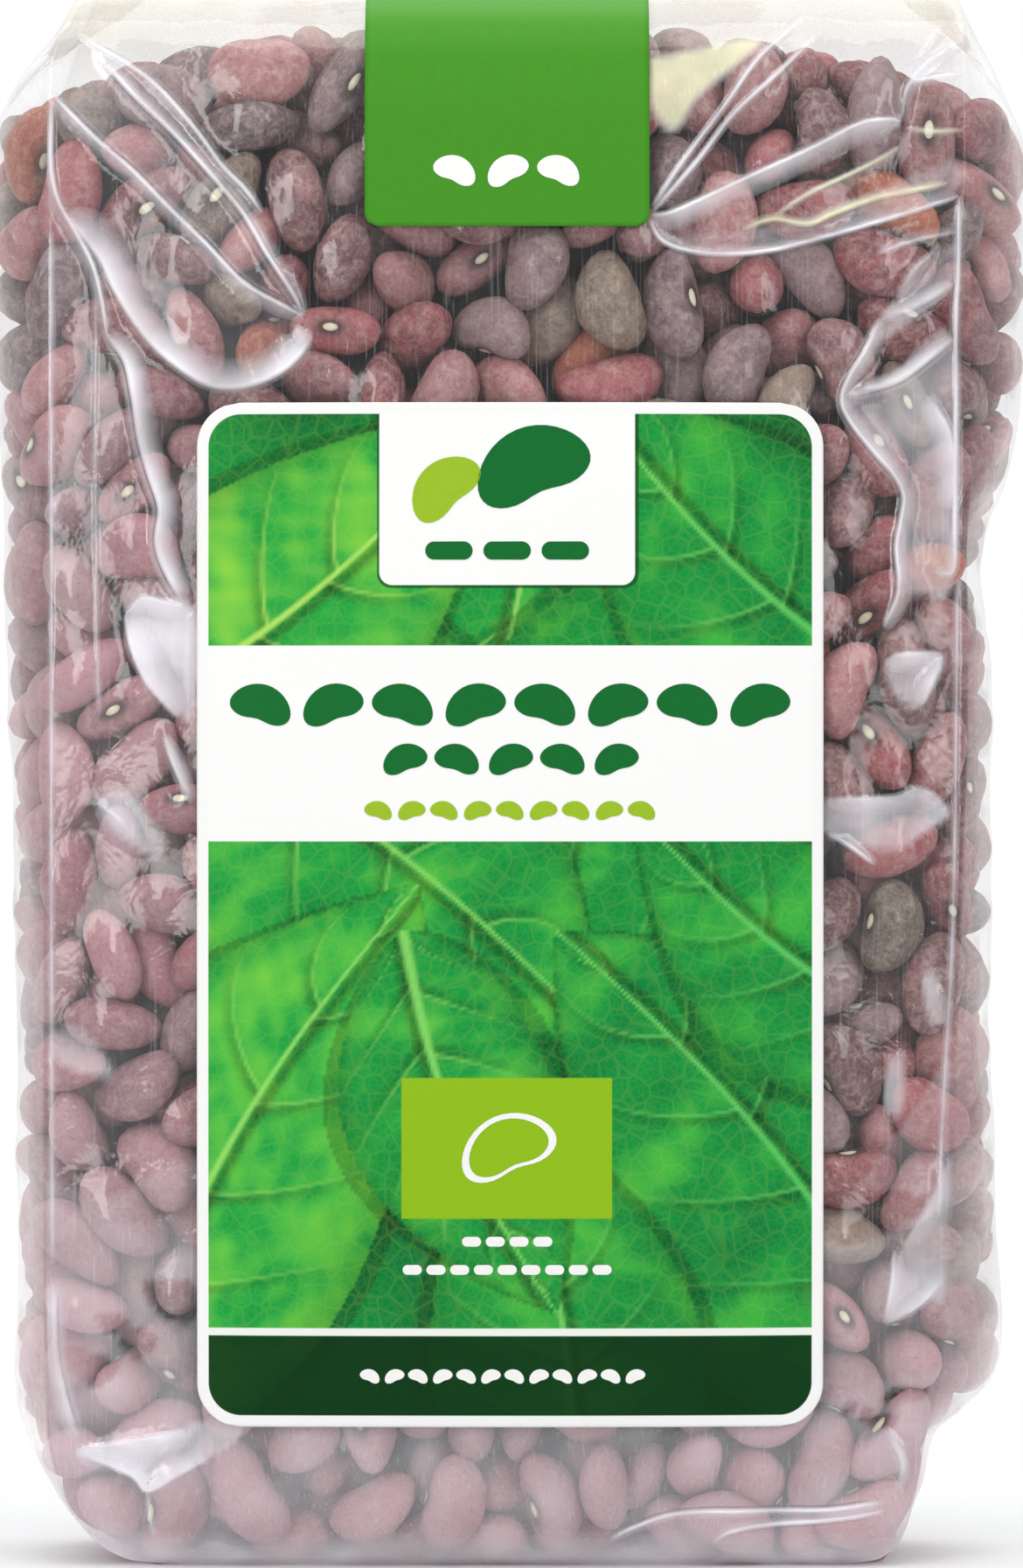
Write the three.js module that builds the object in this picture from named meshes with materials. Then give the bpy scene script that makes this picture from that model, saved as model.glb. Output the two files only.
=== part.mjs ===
// A clear gusseted film bag filled with dried kidney beans, standing on its folded block bottom.
// The bag and the beans in it are one solid, out to the film. A front label lies on the film,
// and a closure strip runs over the folded top from the front to the back.
// Millimetres. +Z is up, +X runs to the right across the front, and the front faces -Y.
// The origin is on the resting face, under the middle of the bag.
import * as THREE from "three";

// The bag
const bagHeight = 211;
const frontColumns = 30; // faces across the front or the back panel
const sideColumns = 12; // faces across a gusset
const rowStep = 4.4;

// Half the width of the front and back panels, crease to crease, at each height: [height, half width]
const leftCrease = profile([
  [0, 44], [0.6, 49.5], [4.5, 55.2], [10, 58.6], [18, 60], [40, 60.5], [120, 60.5], [196, 60.4], [202, 59],
  [208, 56.5], [bagHeight, 55],
]);
const rightCrease = profile([
  [0, 44], [0.6, 48.6], [4, 52], [12, 54], [20, 55.2], [40, 57.4], [80, 59], [120, 60.2], [196, 60.4],
  [202, 60.4], [208, 59.4], [bagHeight, 57],
]);
// How far the gussets belly out from the middle of the bag at each height: [height, reach]
const leftReach = profile([
  [0, 44], [0.6, 50.6], [4.5, 56.4], [10, 60.6], [16, 64], [22, 65.8], [32, 66.2], [56, 65.8], [80, 65.8],
  [91, 66.2], [108, 67], [143, 68.1], [160, 69.4], [176, 69.7], [188, 69.4], [198, 67.6], [204, 63],
  [208, 58.5], [bagHeight, 56],
]);
const rightReach = profile([
  [0, 44], [0.6, 49.4], [4, 53], [10, 55.4], [16.5, 57.4], [19, 60.6], [24.6, 65.6], [30, 66.2], [56, 66],
  [70, 64.5], [91, 65.3], [117, 65.2], [126, 63.8], [132.6, 62.5], [138, 64.4], [143, 67], [154, 69.4],
  [172, 70], [188, 69.6], [198, 68.4], [202, 67.2], [208, 63.2], [bagHeight, 60],
]);
// Half the depth at the creases, and how far the front and back belly out past them
const halfDepth = profile([
  [0, 17], [1.2, 19.4], [4, 21.4], [12, 22.3], [40, 22.6], [150, 22.6], [190, 22.4], [199, 21.8], [203, 20.2],
  [205.8, 17], [207.9, 12.4], [209.4, 7.8], [210.4, 4], [bagHeight, 0],
]);
const belly = profile([
  [0, 0], [2, 0.7], [8, 2.4], [25, 5.2], [55, 6.8], [90, 7], [130, 6.6], [165, 5.8], [188, 4.4], [199, 3],
  [205.8, 1.4], [210.4, 0.3], [bagHeight, 0],
]);
// How far the gussets are tucked in between front and back where the top is folded
const tuck = profile([[0, 0], [188, 0], [196, 2.4], [203, 7.4], [207.4, 10], [bagHeight, 10]]);

// Beans press the film out into low bumps of their own size
const beanLength = 15;
const beanWidth = 9.2;
const bumpHeight = 0.9;
const bumpPitchAcross = 13.2;
const bumpPitchUp = 9.6;
const reliefBottom = 4; // below this height the film is smooth, and so it is above reliefTop
const reliefTop = 204;
const reliefRise = 7; // height over which the relief grows to its full depth
const printClearance = 4; // the film is pressed flat for this far round a label

// Folds of slack film that stand out of the front: each runs from one [x, height] to another
const foldHalfWidth = 3.6;
const frontFolds = [
  { from: [-57, 202], to: [-27.5, 164], height: 1.7 },
  { from: [-60, 194], to: [-27.5, 164], height: 1.5 },
  { from: [-52, 159], to: [-45, 105], height: 1.3 },
  { from: [22, 176], to: [52, 190], height: 1.7 },
  { from: [22, 176], to: [60, 182], height: 1.4 },
  { from: [60, 166], to: [44, 153], height: 1.4 },
  { from: [44, 153], to: [52, 127], height: 1.4 },
  { from: [-57, 15], to: [-38, 20], height: 1.3 },
];

// The printed pieces
const skin = 0.35; // thickness that a label is drawn at
const gap = 0.3; // clear space between a label and the film
const labelWidth = 82;
const labelBottom = 18.9;
const labelTop = 153;
const labelMiddle = 0.4; // the label sits a little to the right
const labelCorner = 5.7;
const stripWidth = 37.3;
const stripEnd = 176.1; // height of the strip's ends, front and back
const stripCorner = 1.7;

const filmed = new THREE.MeshStandardMaterial({ color: 0x7c5054, roughness: 0.35, metalness: 0 });
const labelled = new THREE.MeshStandardMaterial({ color: 0x2f9a33, roughness: 0.45, metalness: 0 });
const closing = new THREE.MeshStandardMaterial({ color: 0x4fa235, roughness: 0.45, metalness: 0 });

// A smooth curve through [height, value] pairs that never swings past them.
function profile(points) {
  const slopes = points.slice(1).map((p, i) => (p[1] - points[i][1]) / (p[0] - points[i][0]));
  const tangents = points.map((_, i) => {
    const before = slopes[Math.max(i - 1, 0)];
    const after = slopes[Math.min(i, slopes.length - 1)];
    return before * after <= 0 ? 0 : (2 * before * after) / (before + after);
  });
  return (height) => {
    let i = 0;
    while (i < points.length - 2 && height > points[i + 1][0]) i += 1;
    const span = points[i + 1][0] - points[i][0];
    const t = THREE.MathUtils.clamp((height - points[i][0]) / span, 0, 1);
    const rise = points[i + 1][1] - points[i][1];
    const bend = (1 - t) * tangents[i] * span - t * tangents[i + 1] * span + (2 * t - 1) * rise;
    return points[i][1] + t * rise + t * (1 - t) * bend;
  };
}

const square = (v) => v * v;
const bulgePower = 2.4; // a pillow that is fuller towards the creases than a parabola
const bulge = (share) => 1 - Math.abs(share) ** bulgePower;
const creaseAt = (side, z) => (side < 0 ? leftCrease(z) : rightCrease(z));

// How far the front or back panel stands from the middle of the bag at a place on it.
function panelDepth(x, z) {
  const share = Math.min(Math.abs(x) / creaseAt(x, z), 1);
  return halfDepth(z) + belly(z) * bulge(share);
}

// Random numbers from 0 to 1 that are the same on each run.
function seededRandom(seed) {
  let state = seed;
  return () => {
    state = (state * 1664525 + 1013904223) % 4294967296;
    return state / 4294967296;
  };
}

// The places and turns of the beans that press on a panel of the given width.
function beansUnder(width, seed) {
  const random = seededRandom(seed);
  const beans = [];
  const rows = Math.floor(bagHeight / bumpPitchUp);
  const columns = Math.floor(width / bumpPitchAcross);
  for (let row = 0; row < rows; row += 1) {
    for (let column = 0; column < columns; column += 1) {
      beans.push({
        across: -width / 2 + (column + 0.2 + 0.6 * random() + 0.5 * (row % 2)) * bumpPitchAcross,
        up: (row + 0.3 + 0.5 * random()) * bumpPitchUp,
        turn: random() * Math.PI,
        size: 0.5 + 0.5 * random(),
      });
    }
  }
  return beans;
}

// The height of the bean bumps at a place on a panel.
function bumps(beans, across, up) {
  return beans.reduce((most, bean) => {
    const dx = across - bean.across;
    const dz = up - bean.up;
    const along = (dx * Math.cos(bean.turn) + dz * Math.sin(bean.turn)) / (beanLength / 2);
    const aside = (dz * Math.cos(bean.turn) - dx * Math.sin(bean.turn)) / (beanWidth / 2);
    const inside = 1 - square(along) - square(aside);
    return inside > 0 ? Math.max(most, bean.size * bumpHeight * inside) : most;
  }, 0);
}

// The height of the slack folds at a place on the front: a ridge that tapers to both ends.
function folds(x, z) {
  return frontFolds.reduce((most, { from, to, height }) => {
    const run = [to[0] - from[0], to[1] - from[1]];
    const length = Math.hypot(...run);
    const along = ((x - from[0]) * run[0] + (z - from[1]) * run[1]) / length;
    const aside = Math.abs((x - from[0]) * run[1] - (z - from[1]) * run[0]) / length;
    const share = THREE.MathUtils.clamp(along / length, 0, 1);
    const past = Math.max(-along, along - length, 0);
    const beside = Math.hypot(aside, past) / foldHalfWidth;
    const crest = height * (0.55 + 0.45 * Math.sin(share * Math.PI));
    return Math.max(most, crest * (1 - beside));
  }, 0);
}

// 0 where a label or the strip holds the film flat, rising to 1 a few millimetres outside it.
function clearOfPrint(x, z, isFront) {
  const outside = (half, middle, low, high) =>
    Math.max(Math.abs(x - middle) - half, low - z, z - high, 0) / printClearance;
  const strip = outside(stripWidth / 2 + 1, 0, stripEnd - 1, bagHeight);
  const label = isFront ? outside(labelWidth / 2 + 1, labelMiddle, labelBottom - 1, labelTop + 1) : 1;
  return Math.min(strip, label, 1);
}

// 1 over most of the height, falling to 0 at the resting face and at the folded top.
const awayFromEnds = (z) =>
  THREE.MathUtils.clamp(Math.min(z - reliefBottom, reliefTop - z) / reliefRise, 0, 1);

const beansBehind = {
  front: beansUnder(132, 11),
  back: beansUnder(132, 23),
  left: beansUnder(52, 37),
  right: beansUnder(52, 41),
};

// A point of the front (-1) or back (+1) panel, share running from -1 at the left crease to 1 at the right.
function panelPoint(facing, share, z) {
  const x = share * creaseAt(share, z);
  const isFront = facing < 0;
  const relief = awayFromEnds(z) * clearOfPrint(x, z, isFront) * (1 - Math.abs(share) ** 6);
  const beans = bumps(isFront ? beansBehind.front : beansBehind.back, x, z);
  const slack = isFront ? folds(x, z) : 0;
  return [x, facing * (panelDepth(x, z) + relief * Math.max(beans, slack)), z];
}

// A point of the left (-1) or right (+1) gusset, share running from -1 at the front crease to 1 at the back.
function gussetPoint(facing, share, z) {
  const crease = creaseAt(facing, z);
  const reach = facing < 0 ? leftReach(z) : rightReach(z);
  const y = share * halfDepth(z);
  const beans = bumps(facing < 0 ? beansBehind.left : beansBehind.right, y, z);
  const relief = awayFromEnds(z) * (1 - share ** 4) * beans;
  const out = crease + (reach - crease) * bulge(share) - tuck(z) * (1 - Math.abs(share)) + relief;
  return [facing * out, y, z];
}

// Even steps from -1 to 1.
const sharesAcross = (count) => Array.from({ length: count + 1 }, (_, i) => (2 * i) / count - 1);
const panelShares = sharesAcross(frontColumns);
const gussetShares = sharesAcross(sideColumns).slice(1, -1);

// The closed loop of points round the bag at one height, anticlockwise from the front left crease.
function ringAt(z) {
  const front = panelShares.map((share) => panelPoint(-1, share, z));
  const right = gussetShares.map((share) => gussetPoint(1, share, z));
  const back = panelShares.map((share) => panelPoint(1, -share, z));
  const left = gussetShares.map((share) => gussetPoint(-1, -share, z));
  return [...front, ...right, ...back, ...left];
}

// The line that closes the bag at its bottom or its top, repeated so that it matches a ring point for point.
function seamAt(z) {
  const front = panelShares.map((share) => [share * creaseAt(share, z), 0, z]);
  const right = gussetShares.map(() => front[front.length - 1]);
  const left = gussetShares.map(() => front[0]);
  return [...front, ...right, ...front.slice().reverse(), ...left];
}

// A closed body from loops of matching points. Neighbours are joined by quads, faces with no area dropped.
function skinOver(loops) {
  const positions = loops.flat(2);
  const count = loops[0].length;
  const same = (a, b) => [0, 1, 2].every((k) => Math.abs(positions[3 * a + k] - positions[3 * b + k]) < 1e-6);
  const faces = [];
  const addFace = (a, b, c) => {
    if (!same(a, b) && !same(b, c) && !same(a, c)) faces.push(a, b, c);
  };
  for (let row = 0; row < loops.length - 1; row += 1) {
    for (let column = 0; column < count; column += 1) {
      const a = row * count + column;
      const b = row * count + ((column + 1) % count);
      addFace(a, b, b + count);
      addFace(a, b + count, a + count);
    }
  }
  return new THREE.BufferGeometry()
    .setAttribute("position", new THREE.Float32BufferAttribute(positions, 3))
    .setIndex(faces);
}

// The heights of the rings: close together in the bottom and top folds, even between.
function ringHeights() {
  const even = [];
  for (let z = 12; z < 194; z += rowStep) even.push(z);
  const top = [196, 199, 201.4, 203.4, 205, 206.4, 207.7, 208.8, 209.7, 210.3, 210.75];
  return [0, 0.5, 1.5, 3.2, 5.6, 8.6, ...even, ...top];
}

function makeBag() {
  const loops = [seamAt(0), ...ringHeights().map(ringAt), seamAt(bagHeight)];
  return named("bag", skinOver(loops), filmed);
}

// A thin closed plate from rows of points and their outward normals, which starts gap above the film.
function makePlate(rows) {
  const lifted = (height) => rows.map((row) => row.map(({ point, normal }) =>
    point.map((value, k) => value + normal[k] * height)));
  const inner = lifted(gap);
  const outer = lifted(gap + skin);
  // Each loop runs along a row's outer side and back along its inner side, so the plate is a flat tube.
  const loops = outer.map((row, i) => [...row, ...inner[i].slice().reverse()]);
  const edge = (row) => [...row, ...row.slice().reverse()];
  return skinOver([edge(inner[0]), ...loops, edge(inner[inner.length - 1])]);
}

// Half the width of a plate with round corners, so far from one of its ends.
function roundedHalf(half, corner, fromEnd) {
  const into = Math.max(corner - fromEnd, 0);
  return half - corner + Math.sqrt(Math.max(corner * corner - into * into, 0));
}

// Distances along a plate of the given length: close together in the rounded ends.
function plateStations(length, corner, step) {
  const end = [0, 0.08, 0.3, 0.6, 1].map((share) => share * corner);
  const middle = [];
  const count = Math.round((length - 2 * corner) / step);
  for (let i = 1; i < count; i += 1) middle.push(corner + ((length - 2 * corner) * i) / count);
  return [...end, ...middle, ...end.map((d) => length - d).reverse()];
}

function makeFrontLabel() {
  const columns = 14;
  const length = labelTop - labelBottom;
  const rows = plateStations(length, labelCorner, 5).map((along) => {
    const z = labelBottom + along;
    const half = roundedHalf(labelWidth / 2, labelCorner, Math.min(along, length - along));
    return Array.from({ length: columns + 1 }, (_, i) => {
      const x = labelMiddle + half * ((2 * i) / columns - 1);
      return { point: [x, -panelDepth(x, z), z], normal: [0, -1, 0] };
    });
  });
  return named("front_label", makePlate(rows), labelled);
}

// The strip's middle line, from its front end over the top to its back end: points of [y, z].
function stripPath() {
  const heights = [stripEnd, ...ringHeights().filter((z) => z > stripEnd + 1)];
  const front = heights.map((z) => [-panelDepth(0, z), z]);
  const back = front.map(([y, z]) => [-y, z]).reverse();
  return [...front, [0, bagHeight], ...back];
}

function makeClosureStrip() {
  const columns = 8;
  const path = stripPath();
  // Two more stations in each rounded end
  const ends = [0.12, 0.5, 1].map((share) => stripEnd + share * stripCorner);
  const frontEnds = ends.map((z) => [-panelDepth(0, z), z]);
  const backEnds = frontEnds.map(([y, z]) => [-y, z]).reverse();
  const line = [path[0], ...frontEnds, ...path.slice(1, -1), ...backEnds, path[path.length - 1]];
  const rows = line.map(([y, z], i) => {
    const before = line[Math.max(i - 1, 0)];
    const after = line[Math.min(i + 1, line.length - 1)];
    const run = Math.hypot(after[0] - before[0], after[1] - before[1]);
    const normal = [0, -(after[1] - before[1]) / run, (after[0] - before[0]) / run];
    const half = roundedHalf(stripWidth / 2, stripCorner, z - stripEnd);
    const facing = Math.sign(y);
    return Array.from({ length: columns + 1 }, (_, k) => {
      const x = half * ((2 * k) / columns - 1);
      return { point: [x, facing * panelDepth(x, z), z], normal };
    });
  });
  return named("closure_strip", makePlate(rows), closing);
}

function named(name, geometry, material) {
  const mesh = new THREE.Mesh(geometry, material);
  mesh.name = name;
  return mesh;
}

const bagOfBeans = new THREE.Group();
bagOfBeans.add(makeBag(), makeFrontLabel(), makeClosureStrip());

export default bagOfBeans;
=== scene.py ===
# A clear gusseted film bag of dried red kidney beans, standing on its folded bottom.
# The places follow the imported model. Lengths are in millimetres and turn to metres as a mesh is made.
import math
from functools import partial
import bmesh
import bpy
import numpy as np
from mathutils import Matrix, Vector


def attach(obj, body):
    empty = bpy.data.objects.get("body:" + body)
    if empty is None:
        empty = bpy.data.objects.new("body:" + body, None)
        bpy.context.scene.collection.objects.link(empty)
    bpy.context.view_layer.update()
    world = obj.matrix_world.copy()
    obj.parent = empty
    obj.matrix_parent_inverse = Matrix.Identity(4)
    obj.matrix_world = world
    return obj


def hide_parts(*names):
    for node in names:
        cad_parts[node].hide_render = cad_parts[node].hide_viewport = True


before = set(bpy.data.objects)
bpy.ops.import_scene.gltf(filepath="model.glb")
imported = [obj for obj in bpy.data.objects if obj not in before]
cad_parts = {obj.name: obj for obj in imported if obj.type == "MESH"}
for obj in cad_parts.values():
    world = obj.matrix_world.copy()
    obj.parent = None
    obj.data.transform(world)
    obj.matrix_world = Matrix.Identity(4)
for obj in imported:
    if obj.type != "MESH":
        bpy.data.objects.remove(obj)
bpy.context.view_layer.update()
mm = 0.001

# The bag's shape: each list is [height, size] up the bag, as the solid has it
bag = {
    "height": 211.0,
    "leftCrease": [(0, 44), (0.6, 49.5), (4.5, 55.2), (10, 58.6), (18, 60), (40, 60.5), (120, 60.5),
        (196, 60.4), (202, 59), (208, 56.5), (211, 55)],
    "rightCrease": [(0, 44), (0.6, 48.6), (4, 52), (12, 54), (20, 55.2), (40, 57.4), (80, 59), (120, 60.2),
        (196, 60.4), (202, 60.4), (208, 59.4), (211, 57)],
    "leftReach": [(0, 44), (0.6, 50.6), (4.5, 56.4), (10, 60.6), (16, 64), (22, 65.8), (32, 66.2),
        (56, 65.8), (80, 65.8), (91, 66.2), (108, 67), (143, 68.1), (160, 69.4), (176, 69.7), (188, 69.4),
        (198, 67.6), (204, 63), (208, 58.5), (211, 56)],
    "rightReach": [(0, 44), (0.6, 49.4), (4, 53), (10, 55.4), (16.5, 57.4), (19, 60.6), (24.6, 65.6),
        (30, 66.2), (56, 66), (70, 64.5), (91, 65.3), (117, 65.2), (126, 63.8), (132.6, 62.5), (138, 64.4),
        (143, 67), (154, 69.4), (172, 70), (188, 69.6), (198, 68.4), (202, 67.2), (208, 63.2), (211, 60)],
    "halfDepth": [(0, 17), (1.2, 19.4), (4, 21.4), (12, 22.3), (40, 22.6), (150, 22.6), (190, 22.4),
        (199, 21.8), (203, 20.2), (205.8, 17), (207.9, 12.4), (209.4, 7.8), (210.4, 4), (211, 0)],
    "belly": [(0, 0), (2, 0.7), (8, 2.4), (25, 5.2), (55, 6.8), (90, 7), (130, 6.6), (165, 5.8), (188, 4.4),
        (199, 3), (205.8, 1.4), (210.4, 0.3), (211, 0)],
    "tuck": [(0, 0), (188, 0), (196, 2.4), (203, 7.4), (207.4, 10), (211, 10)],
    "bulgePower": 2.4,  # a pillow that is fuller towards the creases than a parabola
}


# A smooth curve through [height, size] points that never swings past them, read back by interpolation.
# Between two points it is a cubic whose end slopes are the harmonic mean of the slopes on either side.
def smoothProfile(points, step=0.25):
    at, value = np.array(points, float).T
    slope = np.diff(value) / np.diff(at)
    before, after = np.r_[slope[0], slope], np.r_[slope, slope[-1]]
    product = before * after
    tangent = np.where(product > 0, 2 * product / np.where(product > 0, before + after, 1), 0)
    fine = np.arange(0, bag["height"] + step, step).clip(0, bag["height"])
    i = np.clip(np.searchsorted(at, fine, side="right") - 1, 0, len(slope) - 1)
    span = np.diff(at)[i]
    rise = np.diff(value)[i]
    t = (fine - at[i]) / span
    bend = (1 - t) * tangent[i] * span - t * tangent[i + 1] * span + (2 * t - 1) * rise
    curve = value[i] + t * rise + t * (1 - t) * bend
    return lambda z: np.interp(z, fine, curve)


profiles = {name: smoothProfile(value) for name, value in bag.items() if isinstance(value, list)}


# 1 in the middle of a panel, falling to 0 at its creases
def bulge(share):
    return 1 - np.abs(np.clip(share, -1, 1)) ** bag["bulgePower"]


def creaseAt(side, z):
    return np.where(side < 0, profiles["leftCrease"](z), profiles["rightCrease"](z))


# How far the front or back panel stands from the middle: half the depth plus the belly times the bulge
def panelDepth(x, z):
    return profiles["halfDepth"](z) + profiles["belly"](z) * bulge(x / creaseAt(x, z))


# How far a gusset stands out: from the crease out to its reach by the bulge, less the tuck of the folded top
def gussetReach(side, y, z):
    crease = creaseAt(side, z)
    reach = np.where(side < 0, profiles["leftReach"](z), profiles["rightReach"](z))
    share = y / np.maximum(profiles["halfDepth"](z), 0.5)
    return crease + (reach - crease) * bulge(share) - profiles["tuck"](z) * np.maximum(1 - np.abs(share), 0)


# sRGB hex to the linear colour that the shaders take
def linear(hexColour):
    channels = [int(hexColour[i:i + 2], 16) / 255 for i in (0, 2, 4)]
    return [c / 12.92 if c <= 0.04045 else ((c + 0.055) / 1.055) ** 2.4 for c in channels] + [1.0]


# Adds one node with its settings. An input that is a socket gets linked, and so does one that is a node,
# from its first output in use; any other input is set.
def addNode(tree, kind, inputs=None, **settings):
    node = tree.nodes.new("ShaderNode" + kind)
    for name, value in settings.items():
        setattr(node, name, value)
    for name, value in (inputs or {}).items():
        if isinstance(value, bpy.types.Node):
            value = next(output for output in value.outputs if output.enabled)
        if isinstance(value, bpy.types.NodeSocket):
            tree.links.new(value, node.inputs[name])
        else:
            node.inputs[name].default_value = value
    return node


# An empty material of that name, and the function that adds a node to it
def newMaterial(name):
    material = bpy.data.materials.new(name)
    material.use_nodes = True
    material.node_tree.nodes.clear()
    return material, partial(addNode, material.node_tree)


# An attribute's type and field by how many numbers it has at each point
attributeKinds = {1: ("FLOAT", "value"), 3: ("FLOAT_VECTOR", "vector"), 4: ("FLOAT_COLOR", "color")}


# A mesh object from points in millimetres and arrays of triangles or quads, with its attributes
def makePiece(name, points, faces, material, attributes=None):
    corners = np.concatenate([f.ravel() for f in faces])
    sizes = np.concatenate([np.full(len(f), f.shape[1]) for f in faces])
    mesh = bpy.data.meshes.new(name)
    mesh.vertices.add(len(points))
    mesh.vertices.foreach_set("co", (points * mm).astype(np.float32).ravel())
    mesh.loops.add(len(corners))
    mesh.loops.foreach_set("vertex_index", corners.astype(np.int32))
    mesh.polygons.add(len(sizes))
    mesh.polygons.foreach_set("loop_start", np.r_[0, np.cumsum(sizes)[:-1]].astype(np.int32))
    mesh.update(calc_edges=True)
    mesh.validate()
    mesh.polygons.foreach_set("use_smooth", np.ones(len(mesh.polygons), bool))
    for key, values in (attributes or {}).items():
        kind, field = attributeKinds[values[0].size]
        mesh.attributes.new(key, kind, "POINT").data.foreach_set(field, values.astype(np.float32).ravel())
    mesh.materials.append(material)
    piece = bpy.data.objects.new(name, mesh)
    bpy.context.scene.collection.objects.link(piece)
    return piece


# Quads that join neighbouring points of a grid of rows and columns; wrapped also joins its last column
# to its first
def gridFaces(rows, columns, wrapped=False):
    index = np.arange(rows * columns).reshape(rows, columns)
    if wrapped:
        index = np.concatenate([index, index[:, :1]], axis=1)
    return np.stack([index[:-1, :-1], index[:-1, 1:], index[1:, 1:], index[1:, :-1]], axis=-1).reshape(-1, 4)


# A smooth route through a few points: a Catmull-Rom spline, sampled so many times between two points
def smoothRoute(points, between=8):
    p = np.array(points, float)
    p = np.concatenate([[2 * p[0] - p[1]], p, [2 * p[-1] - p[-2]]])
    t = np.linspace(0, 1, between, endpoint=False)[:, None]
    legs = []
    for a, b, c, d in zip(p, p[1:], p[2:], p[3:]):
        legs.append(0.5 * (2 * b + (c - a) * t + (2 * a - 5 * b + 4 * c - d) * t ** 2
            + (3 * b - a - 3 * c + d) * t ** 3))
    return np.concatenate(legs + [p[-2:-1]])


# Soft hills and hollows from -1 to 1: a sum of sine waves of random direction, each so many mm long
def softWaves(u, v, length, seed, count=7):
    rng = np.random.default_rng(seed)
    total = np.zeros(np.broadcast(u, v).shape)
    for angle, phase, stretch in zip(rng.uniform(0, math.pi, count), rng.uniform(0, 6.28, count),
            rng.uniform(0.6, 1.7, count)):
        total += np.sin((u * math.cos(angle) + v * math.sin(angle)) * 6.283 / (length * stretch) + phase)
    return total / math.sqrt(count * 2)


# The camera, level with the middle of the bag, as the photo was taken
view = {
    "eye": (0.57, -1130.0, 103.1),
    "frontPlane": -30.0,
    "seenHeight": 204.8,  # what the picture shows from bottom to top at the front plane
    "sensor": 36.0,
    "clip": (0.05, 60),
}


def makeCamera():
    data = bpy.data.cameras.new("camera")
    data.sensor_width = view["sensor"]
    data.lens = view["sensor"] * (view["frontPlane"] - view["eye"][1]) / view["seenHeight"]
    data.clip_start, data.clip_end = view["clip"]
    camera = bpy.data.objects.new("camera", data)
    camera.location = [v * mm for v in view["eye"]]
    camera.rotation_euler = (math.radians(90), 0, 0)
    bpy.context.scene.collection.objects.link(camera)
    bpy.context.scene.camera = camera


makeCamera()
print("camera ready")

# The beans. Each is packed as six balls that fill its kidney shape.
beans = {
    "seed": 5,
    "count": 1890,
    "length": 15.0,
    "width": 9.2,
    "thickness": 7.4,
    "size": 0.93,
    "sizeSpread": 0.06,
    "sizeRange": (0.82, 1.1),
    "tries": 60000,
    "tryBox": ((-66, -27, 3), (66, 27, 203)),
    "startInside": 3.6,
    "startApart": 6.65,
    "heapTop": 205.0,  # the middle of the heap; it falls away towards both sides
    "heapFall": 11.0,
    "wallGap": 0.25,
    "rounds": 260,
    "quickRounds": 90,
    "listEvery": 8,  # rounds, after which the pairs of balls that may touch are listed again
    "listWithin": 17.0,  # between the middles of two beans
    "listBalls": 9.0,  # between two balls
    "wallRounds": 12,
    "outerLayer": 13.5,  # beans whose middle is deeper than this can't be seen and are left to the core
}
ballPlaces = np.array([(-3.9, 0.7, 0), (-3.9, -0.7, 0), (0, 0.9, 0), (0, -0.9, 0), (3.9, 0.7, 0),
    (3.9, -0.7, 0)])
ballRadii = np.array([3.45, 3.45, 3.7, 3.7, 3.45, 3.45])
beanInertia = 15.0  # mm squared: a bean's moment of inertia over its mass


def heapTop(x, y):
    return beans["heapTop"] - beans["heapFall"] * (np.abs(x) / 64) ** 3 - 2.0 * (y / 22) ** 2


# Turns vectors (n, k, 3) by the quaternions (n, 4)
def turned(q, v):
    w, u = q[:, None, :1], q[:, None, 1:]
    return v + 2 * np.cross(u, np.cross(u, v) + w * v)


# The quaternions after small turns about the three axes
def spun(q, turn):
    w, u = q[:, :1], q[:, 1:]
    change = np.concatenate([-(turn * u).sum(1, keepdims=True), w * turn + np.cross(turn, u)], axis=1)
    q = q + 0.5 * change
    return q / np.linalg.norm(q, axis=1, keepdims=True)


# How far each ball has to move to lie inside the film: straight in from each wall by what stands out of it.
# A wall's slope is taken over a short step, and what stands out is measured square to the wall.
def wallPush(p, r):
    x, y, z = p.T
    step = 0.4
    up = np.minimum(z + step, bag["height"] - 0.1)
    push = np.zeros_like(p)
    wall = panelDepth(x, z)
    slopeX = (panelDepth(x + step, z) - wall) / step
    slopeZ = np.clip((panelDepth(x, up) - wall) / step, -3, 3)
    steep = np.sqrt(1 + slopeX ** 2 + slopeZ ** 2)
    out = np.maximum((np.abs(y) - wall) / steep + r, 0) / steep
    push += out[:, None] * np.stack([slopeX, -np.sign(y), slopeZ], axis=1)
    side = np.sign(x)
    wall = gussetReach(side, y, z)
    slopeY = np.clip((gussetReach(side, y + step, z) - wall) / step, -2, 2)
    slopeZ = np.clip((gussetReach(side, y, up) - wall) / step, -2, 2)
    steep = np.sqrt(1 + slopeY ** 2 + slopeZ ** 2)
    out = np.maximum((np.abs(x) - wall) / steep + r, 0) / steep
    push += out[:, None] * np.stack([-side, slopeY, slopeZ], axis=1)
    push[:, 2] += np.maximum(r - z, 0)
    push[:, 2] -= np.maximum(z + r - heapTop(x, y), 0)
    return push


# How deep a point is under the nearest wall
def depthInside(p):
    x, y, z = p.T
    sides = np.minimum(panelDepth(x, z) - np.abs(y), gussetReach(np.sign(x), y, z) - np.abs(x))
    return np.minimum(sides, np.minimum(z, heapTop(x, y) - z))


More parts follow.
